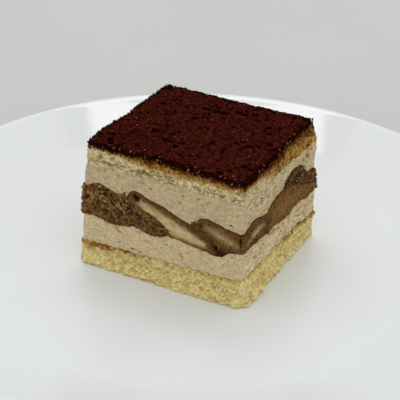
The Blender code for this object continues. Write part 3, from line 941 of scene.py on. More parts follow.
SLICE_COLOURS = (
    ("base_body", "Bottom sponge's crumb", (238, 216, 142)),
    ("base_pale", "Bottom sponge's pale walls", (253, 244, 186)),
    # Painted shade in the bottom sponge's pores and pits.
    ("base_pore", "Bottom sponge's pores", (188, 148, 68)),
    ("base_golden", "Crumb next to the bottom sponge's browned top", (204, 170, 96)),
    ("base_crust", "Bottom sponge's browned top", (148, 108, 46)),
    ("top_body", "Top sponge's crumb", (224, 202, 146)),
    ("top_pale", "Top sponge's pale walls", (246, 233, 188)),
    # Painted shade in the top sponge's pores, pits and crack.
    ("top_pore", "Top sponge's pores", (130, 98, 38)),
    ("top_golden", "Golden crumb under the stained crust", (196, 152, 76)),
    ("top_crust", "Cocoa-stained crumb under the cocoa", (142, 90, 30)),
    ("top_dark", "Darkest crumb right under the cocoa", (74, 36, 9)),
    ("cream_body", "Coffee cream", (198, 176, 135)),
    ("cream_pale", "Lightest coffee cream", (216, 197, 155)),
    ("cream_grey", "Cooler patches of the cream", (186, 169, 134)),
    ("cream_blush", "Warmer patches of the cream", (208, 175, 141)),
    # Painted shade in the cream's pores, holes and knife grooves.
    ("cream_pore", "Inside of the cream's pores", (90, 70, 38)),
    ("cream_smear", "Coffee drawn into the cream", (170, 118, 62)),
    ("soaked_body", "Sponge full of coffee", (102, 68, 34)),
    ("soaked_light", "Lighter crumb walls of the soaked sponge", (184, 150, 90)),
    # Painted shade in the pits of the soaked sponge and the fingers, and dark lumps of the soaked
    # sponge.
    ("soaked_black", "Pits of the soaked sponge", (30, 15, 5)),
    ("soaked_speck", "Specks of cream on the offcut", (184, 158, 132)),
    ("soaked_rim", "Orange-brown rim of the soaked sponge", (158, 106, 46)),
    ("finger_body", "Coffee-brown outside of a finger", (102, 69, 32)),
    ("finger_dark", "Wettest parts of a finger", (68, 42, 16)),
    ("finger_rim", "Wet outer edge of a finger", (84, 51, 22)),
    ("finger_core", "Dry core of a finger", (152, 128, 84)),
    ("finger_heart", "Palest crumb of a finger", (208, 188, 138)),
    ("back_body", "Golden-brown crumb of the back finger", (124, 89, 40)),
    ("back_core", "Drier crumb of the back finger", (134, 98, 48)),
    ("back_heart", "Palest crumb of the back finger", (142, 106, 56)),
    ("cocoa_body", "Dry cocoa", (60, 19, 13)),
    ("cocoa_light", "Lightest cocoa dust", (93, 35, 25)),
    # Painted shade in the cocoa's dents, and its dark lumps.
    ("cocoa_black", "Pits of the cocoa", (20, 4, 2)),
    ("cocoa_moist", "Moist cocoa at the cut edges", (30, 10, 4)),
    # Painted highlights: small pale glints on the cocoa.
    ("cocoa_speck", "Small pale specks in the cocoa", (176, 128, 116)),
)


class TiramisuSlice(bpy.types.PropertyGroup):
    """Sizes and colours of the slice."""

    step: size_prop("Mesh step", "Distance between the points of a cut face", 0.00032, 0.0002, 0.002)
    crumb_depth: size_prop("Crumb depth", "How deep the sponge's pores are", 0.0009, 0.0, 0.003)
    cocoa_relief: size_prop("Cocoa relief", "How far the clumps stand up", 0.0003, 0.0, 0.002)
    grains: count_prop("Cocoa grains", "Loose grains of cocoa on the top", 1500, 0, 6000)


for _key, _label, _display in SLICE_COLOURS:
    TiramisuSlice.__annotations__[_key] = colour_prop(_label, linear(*_display))


class TiramisuPlate(bpy.types.PropertyGroup):
    """Sizes and colours of the plate."""

    segments: count_prop("Segments", "Steps round the plate", 192, 48, 512)
    well: size_prop("Well radius", "Radius of the flat middle", 0.092, 0.05, 0.12)
    glaze: colour_prop("White glaze", (0.842, 0.868, 0.862))
    bare: colour_prop("Unglazed foot ring", (0.62, 0.60, 0.56))


class TiramisuStage(bpy.types.PropertyGroup):
    """Camera, light and floor."""

    eye: bpy.props.FloatVectorProperty(
        name="Camera place",
        description="Where the camera stands",
        default=(0.2492, -0.4692, 0.3427),
        size=3,
        subtype="TRANSLATION",
        unit="LENGTH",
    )
    azimuth: angle_prop("Azimuth", "Camera's turn from the long cut face", 27.924)
    elevation: angle_prop("Elevation", "How far the camera looks down", 29.898)
    roll: angle_prop("Roll", "Camera's roll", 1.238)
    lens: number_prop("Lens", "Focal length in millimetres", 130.5, 300.0)
    floor: colour_prop("Pale floor", (0.618, 0.612, 0.594))
    air: number_prop("Room light", "Strength of the even light from all round", 0.86, 5.0)
    key: number_prop("Top light", "Power of the softbox above and behind", 1.22, 500.0, "POWER")
    fill: number_prop("Front light", "Power of the softbox beside the camera", 0.6, 500.0, "POWER")


# ----------------------------------------------------------------------------------- the pieces


class TIRAMISU_OT_plate(bpy.types.Operator):
    """White coupe plate with a rounded lip and a foot ring"""

    bl_idname = "tiramisu.plate"
    bl_label = "Plate"

    def profile(self, radius, height, well):
        """The plate's section from its middle over the lip to the middle underneath, as (r, z)."""
        lip, power = 1.7, 1.75
        top, under = GLAZE, 2.5
        rim_in, rim_z = radius - 1.7 * lip, height - 0.25 * lip
        points = [(share * well, top) for share in np.linspace(0.0, 1.0, 24)[1:]]
        for share in np.linspace(0.0, 1.0, 34)[1:]:
            points.append((well + (rim_in - well) * share, top + (rim_z - top) * share**power))
        for turn in np.radians(np.linspace(80.0, -50.0, 12)):
            points.append((radius - lip + lip * math.cos(turn), height - lip + lip * math.sin(turn)))
        start_r, start_z = points[-1]
        for share in np.linspace(0.0, 1.0, 26)[1:]:
            r = start_r + (FOOT_OUT + 3.0 - start_r) * share
            lift = max(r - well, 0.0) / (start_r - well)
            points.append((r, under + (start_z - under) * lift**power))
        ring = ((1.5, under - 0.1), (0.7, under - 0.8), (0.2, 0.5), (-0.5, 0.0))
        points += [(FOOT_OUT + out, z) for out, z in ring]
        points += [(FOOT_IN - out, z) for out, z in reversed(ring)]
        points += [(share * (FOOT_IN - 2.5), under) for share in np.linspace(1.0, 0.0, 10)[:-1]]
        return np.array(points), top, under

    def execute(self, context):
        plate = context.scene.tiramisu_plate
        _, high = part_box("plate")
        rings, top, under = self.profile(high.x / MM, high.z / MM, plate.well / MM)
        count, around = len(rings), plate.segments
        turn = np.arange(around) * 2.0 * math.pi / around
        r, z = rings[:, :1], np.repeat(rings[:, 1:], around, 1)
        points = np.stack([r * np.cos(turn), r * np.sin(turn), z], -1).reshape(-1, 3)
        points = np.concatenate([points, [[0.0, 0.0, top], [0.0, 0.0, under]]])
        index = np.arange(count * around).reshape(count, around)
        after = np.roll(index, -1, axis=1)
        quads = np.stack([index[:-1], index[1:], after[1:], after[:-1]], -1).reshape(-1, 4)
        middle = np.full(around, count * around)
        lids = ((middle, index[0], after[0]), (middle + 1, after[-1], index[-1]))
        tris = np.concatenate([np.stack(lid, -1) for lid in lids])
        r = np.hypot(points[:, 0], points[:, 1])
        bare = (points[:, 2] < 0.3) & (r > FOOT_IN - 1.0) & (r < FOOT_OUT + 1.0)
        in_front = 0.47 * points[:, 0] - 0.88 * points[:, 1]
        worn = np.maximum(smooth((104.0 - r) / 14.0), smooth((in_front - 70.0) / 24.0))
        finish = glaze_finish(tuple(plate.glaze), tuple(plate.bare))
        masks = {"bare": bare * 1.0, "well": worn}
        add_piece("plate_glazed", points * MM, quads, tris, finish, ("plate",), masks, 40.0)
        return {"FINISHED"}


def crumb_walls(block, rng, depth, holes, open_share=1.0):
    """The push and the mask of painted shade in the pits of a sponge's cut face."""
    scale = depth / 0.9
    big = block.pits(rng, 0.16 * open_share, (0.5, 1.25), 0.85 * scale, 1.7, 2.5)
    small = block.pits(rng, 1.15 * open_share, (0.30, 0.62), scale, 1.5, 1.0)
    hollow = block.with_holes(np.maximum(big, small), holes)
    rough = CRUMBLY.layered(block.points, 1.1, 3, 0.8)
    wave = UNEVEN.layered(block.points, 7.0, 2)
    push = 0.45 * wave + 0.42 * scale * rough - hollow + 0.13 * block.grain(rng)
    # Painted shade: darker in the pits and where the crumbly face lies deeper.
    pit = smooth(hollow / (0.75 * depth)) * 0.75 + smooth(-rough * 1.6 - 0.1) * 0.45
    return push, pit


def base_foot(x, y):
    return BASE_FOOT + 0.0 * x


class TIRAMISU_OT_base(bpy.types.Operator):
    """Pale bottom sponge with an open crumb and a browned upper edge"""

    bl_idname = "tiramisu.base"
    bl_label = "Base sponge"

    def outline(self, block):
        """How far the sponge's edges stand out or draw in, without its crumb."""
        x, y, z = xyz(block.points)
        foot = np.clip(1.0 - (z - BASE_FOOT) / 0.8, 0.0, 1.0) ** 2 * 0.7 - 0.7 * smooth((5.5 - z) / 5.0)
        foot = foot + 0.5 * RAGGED.layered(block.points + 33.0, 3.4, 2) * smooth((3.0 - z) / 2.0)
        for side, places in BASE_TUFTS.items():
            for place in places:
                foot = foot - block.hole(side, *place)
        low = smooth((6.0 - z) / 5.0)
        out = smooth((NEAR_FACE - y) / 1.0) * low * smooth((-4.0 - x) / 6.0)
        near = smooth((x + NEAR_FACE) / 1.0) * smooth((44.0 - y) / 20.0) * low
        rounded = 0.3 * edge_round(block, 0.5) * (z > 4.0)
        return 0.7 + 0.6 * left_edge(x) + 0.3 * near + 0.9 * out - foot - rounded

    def browned(self, block):
        """How browned the crumb is: strongest at its top, in patches, and stained at the left."""
        x, y, z = xyz(block.points)
        strength = np.where(y < NEAR_FACE, 0.3 + 0.7 * smooth((-38.0 - x) / 16.0), 0.7)
        strength = np.where(on_right(x, y), 0.3 + 0.6 * smooth((y - 24.0) / 16.0), strength)
        strength = strength + 0.35 * RAGGED.layered(block.points + 70.0, 3.2, 2)
        width = 1.5 + 1.4 * smooth((-50.0 - x) / 14.0) + 0.9 * smooth((y - 26.0) / 16.0)
        width = width + 1.6 * RAGGED.layered(block.points, 2.4, 3)
        tone = np.clip(strength, 0.0, 1.0) * 0.85
        tone = tone * smooth(1.15 - (base_top(x, y) - z) / np.maximum(width, 0.25))
        tone = tone * (0.35 + 0.65 * block.patches(45.0, 1.0, 2, 1.6, 0.6))
        stained = 0.26 * smooth((-58.0 - x) / 10.0) * block.patches(20.0, 4.0, 3, 2.0, 0.3)
        return np.maximum(tone, stained)

    def execute(self, context):
        slice_ = context.scene.tiramisu_slice
        block = Block(cut_sides(), base_foot, base_top, ALL_CUT, slice_.step / MM, 2.2)
        rng = np.random.default_rng(101)
        push, pit = crumb_walls(block, rng, slice_.crumb_depth / MM, BASE_HOLES)
        masks = {"pit": pit, "tone": self.browned(block)}
        colours = "base_body base_pale base_pore base_golden base_crust top_crust"
        finish = crumb_finish("base_crumb", colours)
        push = push + self.outline(block)
        add_block("base_sponge_crumb", block, push, masks, finish, ("base_sponge",))
        return {"FINISHED"}


class TIRAMISU_OT_creams(bpy.types.Operator):
    """The two layers of coffee cream"""

    bl_idname = "tiramisu.creams"
    bl_label = "Coffee cream"

    def stains(self, block, band_gap):
        """Coffee in the cream: next to the soaked band, in faint far patches and in single spots."""
        x, y, z = xyz(block.points)
        stain = block.patches(0.0, 3.6, 3, 2.4, -0.15) * smooth(1.0 - band_gap / 2.2)
        stain = stain + 0.3 * smooth(1.0 - band_gap / 0.6)
        tone = np.clip(stain + block.patches(50.0, 2.6, 3, 2.6, -1.05) * 0.5, 0.0, 1.0)
        uneven = 0.6 * RAGGED.layered(block.points, 1.2, 2)
        for side, places in CREAM_STAINS.items():
            run, facing = (x, y < NEAR_FACE) if side == "front" else (y, on_right(x, y))
            for place, height, wide, high in places:
                spot = ((run - place) / wide) ** 2 + ((z - height) / high) ** 2 + uneven
                tone = np.maximum(tone, smooth(1.5 - spot) * facing)
        return tone

    def execute(self, context):
        slice_ = context.scene.tiramisu_slice
        for name, floor, ceiling, seed, stand_out, shade in (
            ("lower_cream", base_top, band_bottom, 211, 0.0, 1.02),
            ("upper_cream", band_top, cream_top, 223, 0.1, 0.90),
        ):
            finish = cream_finish("coffee_cream", shade)
            block = Block(cut_sides(), floor, ceiling, ALL_CUT, slice_.step / MM, 1.3)
            rng = np.random.default_rng(seed)
            x, y, z = xyz(block.points)
            aside = on_right(x, y) * 1.0
            pores = block.pits(rng, 0.05, (0.22, 0.45), 1.1, 1.6, 2.0)
            cuts = block.pits(rng, 0.018, (0.16, 0.26), 1.4, 5.0, 1.0)
            drags = block.pits(rng, 0.7, (0.16, 0.34), 1.4, 5.0, 1.0, where=aside)
            hollow = block.with_holes(np.maximum(np.maximum(pores, cuts), drags), CREAM_HOLES)
            drag = UNEVEN.layered(block.points * np.array([0.35, 0.35, 1.3]), 2.2, 3)
            wave = UNEVEN.layered(block.points, 9.0, 2)
            push = stand_out + 0.4 * left_edge(x) + 0.45 * wave + 0.3 * drag
            push = push + 0.06 * block.grain(rng) - hollow - edge_round(block, 0.3)
            band_gap = band_bottom(x, y) - z if name == "lower_cream" else z - band_top(x, y)
            tone = self.stains(block, band_gap)
            # The first mask paints shade into the cream's holes and cuts.
            masks = {"pit": smooth(hollow / 0.5), "tone": tone, "side": aside}
            add_block(name + "_coffee", block, push, masks, finish, (name,))
        return {"FINISHED"}


def chain_mask(place, height, chain, soft):
    """1 inside a chain of (place, height, radius), falling to 0 over soft millimetres."""
    nearest = np.full(np.broadcast(place, height).shape, 1e3)
    for (x0, z0, r0), (x1, z1, r1) in zip(chain, chain[1:]):
        dx, dz = x1 - x0, z1 - z0
        share = ((place - x0) * dx + (height - z0) * dz) / (dx * dx + dz * dz)
        share = np.clip(share, 0.0, 1.0)
        gap = np.hypot(place - x0 - dx * share, height - z0 - dz * share)
        nearest = np.minimum(nearest, gap - (r0 + (r1 - r0) * share))
    return smooth(0.5 - nearest / soft)


def beside(outline, gap):
    """A side face that keeps gap millimetres away from a slanted joint."""
    return lambda y, z: joint(outline, y, z) + gap


def across(depth, wave, size, shift):
    """A slightly wavy side face that runs straight across the slice at a depth."""
    return lambda x, z: depth + wave * UNEVEN.at(flat_points(x, shift, z), size)


def back_top(x, y):
    """The back finger's ceiling: the band's, and the offcut's bed where that lies on it."""
    inside = smooth((y - OFFCUT_START + 0.5) / 1.0)
    return band_top(x, y) * (1.0 - inside) + offcut_bed(x, y) * inside


def offcut_top(x, y):
    return np.maximum(band_top(x, y), offcut_bed(x, y) + 0.6)


class TIRAMISU_OT_band(bpy.types.Operator):
    """Coffee-soaked sponge and sponge fingers, each piece on its own"""

    bl_idname = "tiramisu.band"
    bl_label = "Soaked band"

    def core(self, name, block, height):
        """How pale a finger's core is."""
        x, y, _ = xyz(block.points)
        moved = x - DRIFT * y / DEPTH
        facing_right = x > -NEAR_FACE
        if name == "long_finger":
            return chain_mask(moved, height, LONG_CORE, 3.8)
        if name == "corner_finger":
            aside = 0.7 * chain_mask(y, height, SIDE_CORE, 3.4)
            return np.where(on_right(x, y), aside, 0.62 * chain_mask(moved, height, CORNER_CORE, 4.6))
        if name == "back_finger":
            aside = 0.36 * chain_mask(y, height, BACK_CORE, 3.2)
            return np.where(facing_right, aside, 0.5 * chain_mask(x, height, HIDDEN_CORE, 2.5))
        return np.zeros_like(x)

    def soaked_masks(self, name, block, pit, rim):
        """Masks of the soaked sponge and the offcut: where they are orange, dry or specked."""
        x, y, z = xyz(block.points)
        floor, ceiling = block.floor(x, y), block.ceiling(x, y)
        if name == "soaked_sponge":
            orange, left_end = block.patches(30.0, 5.0, 2, 2.2, -0.35), smooth((-64.0 - x) / 6.0)
            tone = np.clip(rim * 0.35 + 0.25 * orange + 0.6 * left_end, 0.0, 1.0)
            specks = np.zeros_like(z)
        else:
            far = smooth((y - 52.0) / 5.0)
            warm = block.patches(25.0, 2.2, 3, 2.4, 0.05)
            tone = np.clip(0.9 * far + 0.75 * warm, 0.0, 1.0)
            # Besides painted shade in its pits, the offcut's mask takes darker patches towards its
            # front.
            dark = (1.0 - far) * 0.6 * (1.0 - warm) * block.patches(80.0, 2.4, 3, 2.0, 0.7)
            pit = np.maximum(pit, dark)
            specks = 1.0 - far
        share = np.clip((z - floor) / np.maximum(ceiling - floor, 1.0), 0.0, 1.0)
        dry = smooth((-38.0 - x) / 6.0) * smooth((share - 0.3) / 0.35)
        dry = dry * block.patches(60.0, 6.0, 2, 2.0, 0.75)
        return {"pit": pit, "tone": tone, "dry": dry, "rim": specks}

    def execute(self, context):
        step = context.scene.tiramisu_slice.step / MM
        soaked = soaked_finish()
        finger = finger_finish("sponge_finger", "finger_body finger_dark finger_core finger_heart")
        back = finger_finish("back_sponge_finger", "back_body finger_dark back_core back_heart")
        before_first, after_first = beside(FIRST_JOINT, -JOINT_GAP), beside(FIRST_JOINT, JOINT_GAP)
        before_second, after_second = beside(SECOND_JOINT, -JOINT_GAP), beside(SECOND_JOINT, JOINT_GAP)
        cross, bed_end = across(CROSS_JOINT, 0.5, 4.0, 70.0), across(OFFCUT_START, 0.3, 3.0, 90.0)
        sides = {
            "soaked_sponge": {"right": before_first},
            "long_finger": {"left": after_first, "right": before_second},
            "corner_finger": {"left": after_second, "back": cross},
            "back_finger": {"left": after_second, "front": cross},
            "offcut": {"left": after_second, "front": bed_end},
        }
        for name, floor, ceiling, cut, finish, density, seed in (
            ("soaked_sponge", band_bottom, band_top, ("front", "back", "left"), soaked, 0.8, 301),
            ("long_finger", band_bottom, band_top, ("front", "back"), finger, 0.4, 307),
            ("corner_finger", band_bottom, band_top, ("front", "right"), finger, 0.4, 311),
            ("back_finger", band_bottom, back_top, ("right", "back"), back, 0.5, 313),
            ("offcut", offcut_bed, offcut_top, ("right", "back"), soaked, 1.8, 317),
        ):
            block = Block({**cut_sides(), **sides[name]}, floor, ceiling, cut, step, 0.9)
            rng = np.random.default_rng(seed)
            x, y, z = xyz(block.points)
            rough = CRUMBLY.layered(block.points, 1.2, 3, 0.75)
            core = self.core(name, block, z + 0.5 * CRUMBLY.layered(block.points, 2.5, 3))
            spongy = 1.0 - 0.85 * core
            radii = (0.4, 0.5 + 0.5 * density)
            pits = block.pits(rng, 0.30 * density, radii, 0.9, 1.5, 2.0, where=spongy)
            fine = block.pits(rng, 0.9 * density, (0.26, 0.5), 0.9, 1.3, 1.0, where=spongy)
            hollow = block.with_holes(np.maximum(pits, fine), BAND_HOLES)

            first_gap = 0.5 * np.abs(x - joint(FIRST_JOINT, y, z))
            second_gap = 0.5 * np.abs(x - joint(SECOND_JOINT, y, z))
            edge = np.minimum(z - floor(x, y), ceiling(x, y) - z)
            if name in ("soaked_sponge", "long_finger"):
                edge = np.minimum(edge, first_gap)
            if name in ("long_finger", "corner_finger"):
                edge = np.minimum(edge, second_gap)
            rim = smooth(1.0 - edge / (0.9 + 0.5 * RAGGED.layered(block.points, 2.5, 2)))

            corner = smooth((x + 1.5) / 1.0) * smooth((y - 50.0) / 10.0)
            wave = UNEVEN.layered(block.points, 6.0, 2)
            push = 0.5 + 1.9 * left_edge(x) + 0.6 * corner + 0.4 * wave + 0.36 * rough * spongy
            push = push - hollow - edge_round(block, 0.5)
            # Painted shade: darker in the pits and where the crumbly face lies deeper.
            pit = smooth(hollow / 0.7) * 0.9 + smooth(-rough * 1.5 - 0.2) * 0.3 * spongy
            if name == "corner_finger":
                # Painted shadow: a nearly black band along the lower part of the corner finger.
                painted_lighting = smooth((25.9 - z + 1.4 * rough) / 2.4) * smooth((23.0 + x) / 3.0)
                pit = np.maximum(pit, 0.75 * painted_lighting)
            if name == "long_finger":
                # Painted shade low down beside the joint with the corner finger.
                painted_lighting = smooth(1.3 - second_gap) * smooth((29.0 - z) / 3.0)
                pit = np.maximum(pit, 0.6 * painted_lighting)
            if finish is soaked:
                masks, slot = self.soaked_masks(name, block, pit, rim), "soaked_sponge"
            else:
                masks, slot = {"pit": pit, "tone": core, "rim": rim * 0.9}, "finger"
            add_block(name + "_wet", block, push, masks, finish, (name,))
        return {"FINISHED"}


class TIRAMISU_OT_top_sponge(bpy.types.Operator):
    """Thin upper sponge, stained by the cocoa that lies on it"""

    bl_idname = "tiramisu.top_sponge"
    bl_label = "Top sponge"

    def execute(self, context):
        slice_ = context.scene.tiramisu_slice
        block = Block(cut_sides(), cream_top, sponge_top, ALL_CUT, slice_.step / MM, 1.4)
        rng = np.random.default_rng(401)
        push, pit = crumb_walls(block, rng, slice_.crumb_depth / MM, SPONGE_HOLES, 0.6)
        x, y, z = xyz(block.points)
        aside = on_right(x, y)
        low = np.where(aside, along(SPONGE_CRUST_RIGHT, y), along(SPONGE_CRUST_FRONT, x))
        low = low + 1.8 * RAGGED.layered(block.points, 2.6, 4, 0.8)
        tone = np.clip((z - low) / np.maximum(sponge_top(x, y) + 0.2 - low, 1.0), 0.0, 1.0)
        clumps = 0.36 + 0.32 * block.patches(55.0, 1.8, 3, 2.0, 0.4)
        clumps = np.where(aside & (z > low), clumps, 0.0) * smooth((y - 14.0) / 12.0)
        line = 49.6 + 0.6 * np.sin(x / 5.0) + 0.8 * RAGGED.at(block.points, 4.0)
        crack = smooth(1.0 - np.abs(z - line) / 0.6) * block.patches(9.0, 2.2, 2, 3.0, 0.5)
        crack = crack * (y < 1.5)
        slope = smooth((x + 1.5) / 1.0) * smooth((y - 26.0) / 30.0) * smooth((z - 49.5) / 6.0)
        push = push + 0.5 - 2.0 * slope - 0.7 * crack - edge_round(block, 0.4)
        # The crack is cut a little into the face and painted dark as its shade.
        masks = {"pit": np.maximum(pit, 0.9 * crack), "tone": np.maximum(tone, clumps)}
        colours = "top_body top_pale top_pore top_golden top_crust top_dark"
        finish = crumb_finish("top_crumb", colours, 800.0, 0.85)
        add_block("top_sponge_crumb", block, push, masks, finish, ("top_sponge",))
        return {"FINISHED"}


def icosahedron():
    """Its twelve points at a radius of 1 and its twenty faces."""
    golden = (1.0 + math.sqrt(5.0)) / 2.0
    signs = [(a, b) for a in (1, -1) for b in (-1, 1)]
    points = [(b, a * golden, 0) for a, b in signs]
    points += [(0, b, a * golden) for a, b in signs]
    points += [(a * golden, 0, b) for a, b in signs]
    faces = (
        (0, 11, 5), (0, 5, 1), (0, 1, 7), (0, 7, 10), (0, 10, 11), (1, 5, 9), (5, 11, 4), (11, 10, 2),
        (10, 7, 6), (7, 1, 8), (3, 9, 4), (3, 4, 2), (3, 2, 6), (3, 6, 8), (3, 8, 9), (4, 9, 5),
        (2, 4, 11), (6, 2, 10), (8, 6, 7), (9, 8, 1),
    )
    return np.array(points) / math.hypot(1.0, golden), np.array(faces)


def add_lumps(name, centres, radii, rng, finish, tone):
    """A piece of many small uneven lumps, from their centres in millimetres."""
    shape, sides = icosahedron()
    points, faces = [], []
    for k, (centre, radius) in enumerate(zip(centres, radii)):
        lump = shape * radius * rng.uniform(0.65, 1.25, (12, 1)) * rng.uniform(0.6, 1.2, (1, 3))
        points.append(lump + centre)
        faces.append(sides + 12 * k)
    points, faces = np.concatenate(points), np.concatenate(faces)
    masks = {"pit": np.zeros(len(points)), "tone": np.repeat(tone, 12)}
    no_quads = np.zeros((0, 4), int)
    add_piece(name, points * MM, no_quads, faces, finish, (), masks)


def cocoa_edge(y):
    """How far the coat's right edge is drawn in, growing towards the back."""
    share = np.clip(y / DEPTH, 0.0, 1.0)
    return -2.0 * smooth(share) * share


class TIRAMISU_OT_cocoa(bpy.types.Operator):
    """Coat of sifted cocoa with its clumps, pits and loose grains"""

    bl_idname = "tiramisu.cocoa"
    bl_label = "Cocoa"

    def relief(self, x, y, rng, relief):
        """Heights of the cocoa's upper face over its even level, and its mask of painted shade in the
        dents.
        """
        points = flat_points(x, y, 500.0)
        height = 0.5 * UNEVEN.layered(points, 5.0, 2) + 0.75 * CRUMBLY.layered(points, 1.3, 2)
        height = relief * (height + 0.55 * RAGGED.at(points, 0.55))
        pit = np.zeros_like(x)
        for sign, count, small, large, depth in COCOA_DENTS:
            for _ in range(count):
                cx, cy = rng.uniform(-LENGTH, 0.0), rng.uniform(0.0, DEPTH)
                r = small + (large - small) * rng.random() ** 2
                length = r * rng.uniform(1.0, 1.9)
                turn = rng.uniform(0.0, math.pi)
                near = (np.abs(x - cx) < length) & (np.abs(y - cy) < length)
                if not near.any():
                    continue
                dx, dy = x[near] - cx, y[near] - cy
                a = (dx * math.cos(turn) + dy * math.sin(turn)) / length
                b = (dy * math.cos(turn) - dx * math.sin(turn)) / r
                share = np.sqrt(np.clip(1.0 - a * a - b * b, 0.0, 1.0))
                height[near] += sign * share * r * depth
                if sign < 0:
                    pit[near] = np.maximum(pit[near], share)
        return height, pit

    def coat(self, slice_, rng, finish):
        sides = {**cut_sides(), "right": lambda y, z: cocoa_edge(y)}
        step = slice_.step / MM
        block = Block(sides, sponge_top, cocoa_top, ALL_CUT, step, 1.6, capped=True)
        block.outer = np.ones_like(block.share)
        nx, ny = block.counts["front"], block.counts["right"]
        u, v = np.meshgrid(np.arange(1, nx) / nx, np.arange(1, ny) / ny)
        u, v, _ = block.rounded(u, v, block.span)
        lid = block.place(u, v, np.ones_like(u))
        x, y, _ = xyz(lid)
        height, pit = self.relief(x, y, rng, slice_.cocoa_relief / MM)
        rim = np.minimum(np.minimum(x + LENGTH, -x), np.minimum(y, DEPTH - y))
        fall = np.clip(1.0 - rim / 1.2, 0.0, 1.0) ** 2
        clods = (RAGGED.layered(lid + 15.0, 1.5, 2) + 0.35) * smooth(1.0 - rim / 2.2)
        lid[..., 2] += height * (1.0 - 0.5 * fall) - 0.55 * fall + clods
        rough = CRUMBLY.layered(block.points, 1.0, 3, 0.8)
        lumpy = UNEVEN.layered(block.points, 2.4, 2)
        push = 0.3 + 0.6 * rough + 0.6 * lumpy - 0.6 * smooth((block.share - 0.45) / 0.55)
        block.points[-1, :, 2] -= 0.55
        block.points[-2, :, 2] -= 0.3
        moist = smooth(1.2 - (rim - 0.4 + 0.7 * RAGGED.layered(lid, 1.6, 2)) / 1.5)
        # The side walls are darkened a quarter everywhere and more, as painted shade, where their face
        # lies deeper; the lid takes painted shade in its dents.
        masks = {
            "pit": (0.25 + 0.5 * smooth(-rough * 1.5), np.append(0.0, pit.ravel())),
            "tone": (np.full_like(block.share, 0.9), np.append(0.0, moist.ravel())),
        }
        add_block("cocoa_coat", block, push, masks, finish, ("cocoa",), lid, 70.0)

    def top_grains(self, rng, count):
        """Centres and radii of the grains that lie on the coat."""
        x, y = rng.uniform(-LENGTH + 0.8, -0.8, count), rng.uniform(0.8, DEPTH - 0.8, count)
        radii = 0.10 + 0.22 * rng.random(count) ** 2.5
        x = np.minimum(x, -2.0 * (y / DEPTH) ** 2 - 0.6)
        return np.stack([x, y, cocoa_top(x, y) + radii * 0.35 + 0.05], -1), radii

    def edge_grains(self, rng, count):
        """Centres and radii of the grains that cling to the coat's four edges."""
        run = rng.uniform(0.0, 2.0 * (LENGTH + DEPTH), count)
        at_front, at_right = run < LENGTH, run < LENGTH + DEPTH
        sides = [at_front, at_right, run < 2 * LENGTH + DEPTH]
        x = np.select(sides, [-LENGTH + run, 0.0 * run, LENGTH + DEPTH - run], -LENGTH)
        back_y = DEPTH + 0.0 * run
        y = np.select(sides, [0.0 * run, run - LENGTH, back_y], 2 * (LENGTH + DEPTH) - run)
        drop = rng.random(count) ** 1.4 * 2.3
        z = cocoa_top(x, y) - 0.25 - drop
        out = 0.05 + 0.4 * rng.random(count)
        x = x + np.where(x > -0.01, out + cocoa_edge(y), 0.0) - np.where(x < -LENGTH + 0.01, out, 0.0)
        y = y - np.where(y < 0.01, out, 0.0) + np.where(y > DEPTH - 0.01, 0.5 * out, 0.0)
        x = np.minimum(x, out + cocoa_edge(y))
        return np.stack([x, y, z], -1), 0.16 + 0.42 * rng.random(count) ** 2

    def execute(self, context):
        slice_ = context.scene.tiramisu_slice
        rng = np.random.default_rng(503)
        finish = cocoa_finish()
        self.coat(slice_, rng, finish)
        top, top_radii = self.top_grains(rng, slice_.grains)
        edge, edge_radii = self.edge_grains(rng, EDGE_GRAINS)
        centres = to_row(np.concatenate([top, edge])) / MM
        radii = np.concatenate([top_radii, edge_radii])
        tone = np.repeat([0.0, 0.8], [len(top), len(edge)])
        add_lumps("cocoa_grains", centres, radii, rng, finish, tone)
        return {"FINISHED"}


class TIRAMISU_OT_crumbs(bpy.types.Operator):
    """Crumbs that cling to the sponges and lie at the slice's foot"""

    bl_idname = "tiramisu.crumbs"
    bl_label = "Crumbs"

    def execute(self, context):
        rng = np.random.default_rng(601)
        clinging, fallen = 240, 26
        run = rng.uniform(0.0, LENGTH + DEPTH, clinging)
        x = np.where(run < LENGTH, -run, 0.75)
        y = np.where(run < LENGTH, -0.75, run - LENGTH)
        z = rng.uniform(0.5, 9.5, clinging)
        high = to_row(np.stack([x, y, z], -1)) / MM
        high_radii = 0.16 + 0.26 * rng.random(clinging) ** 2
        run = rng.uniform(0.0, LENGTH + DEPTH, fallen)
        x = np.where(run < LENGTH, -run, 1.4 + 1.2 * rng.random(fallen) ** 2)
        y = np.where(run < LENGTH, -1.4 - 1.2 * rng.random(fallen) ** 2, run - LENGTH)
        low_radii = 0.18 + 0.3 * rng.random(fallen) ** 2
        low = to_row(flat_points(x, y)) / MM
        low[:, 2] = GLAZE + low_radii * 0.6
        centres, radii = np.concatenate([high, low]), np.concatenate([high_radii, low_radii])
        finish = bpy.data.materials["base_crumb"]
        tone = np.zeros(len(radii))
        add_lumps("sponge_crumbs", centres, radii, rng, finish, tone)
        return {"FINISHED"}


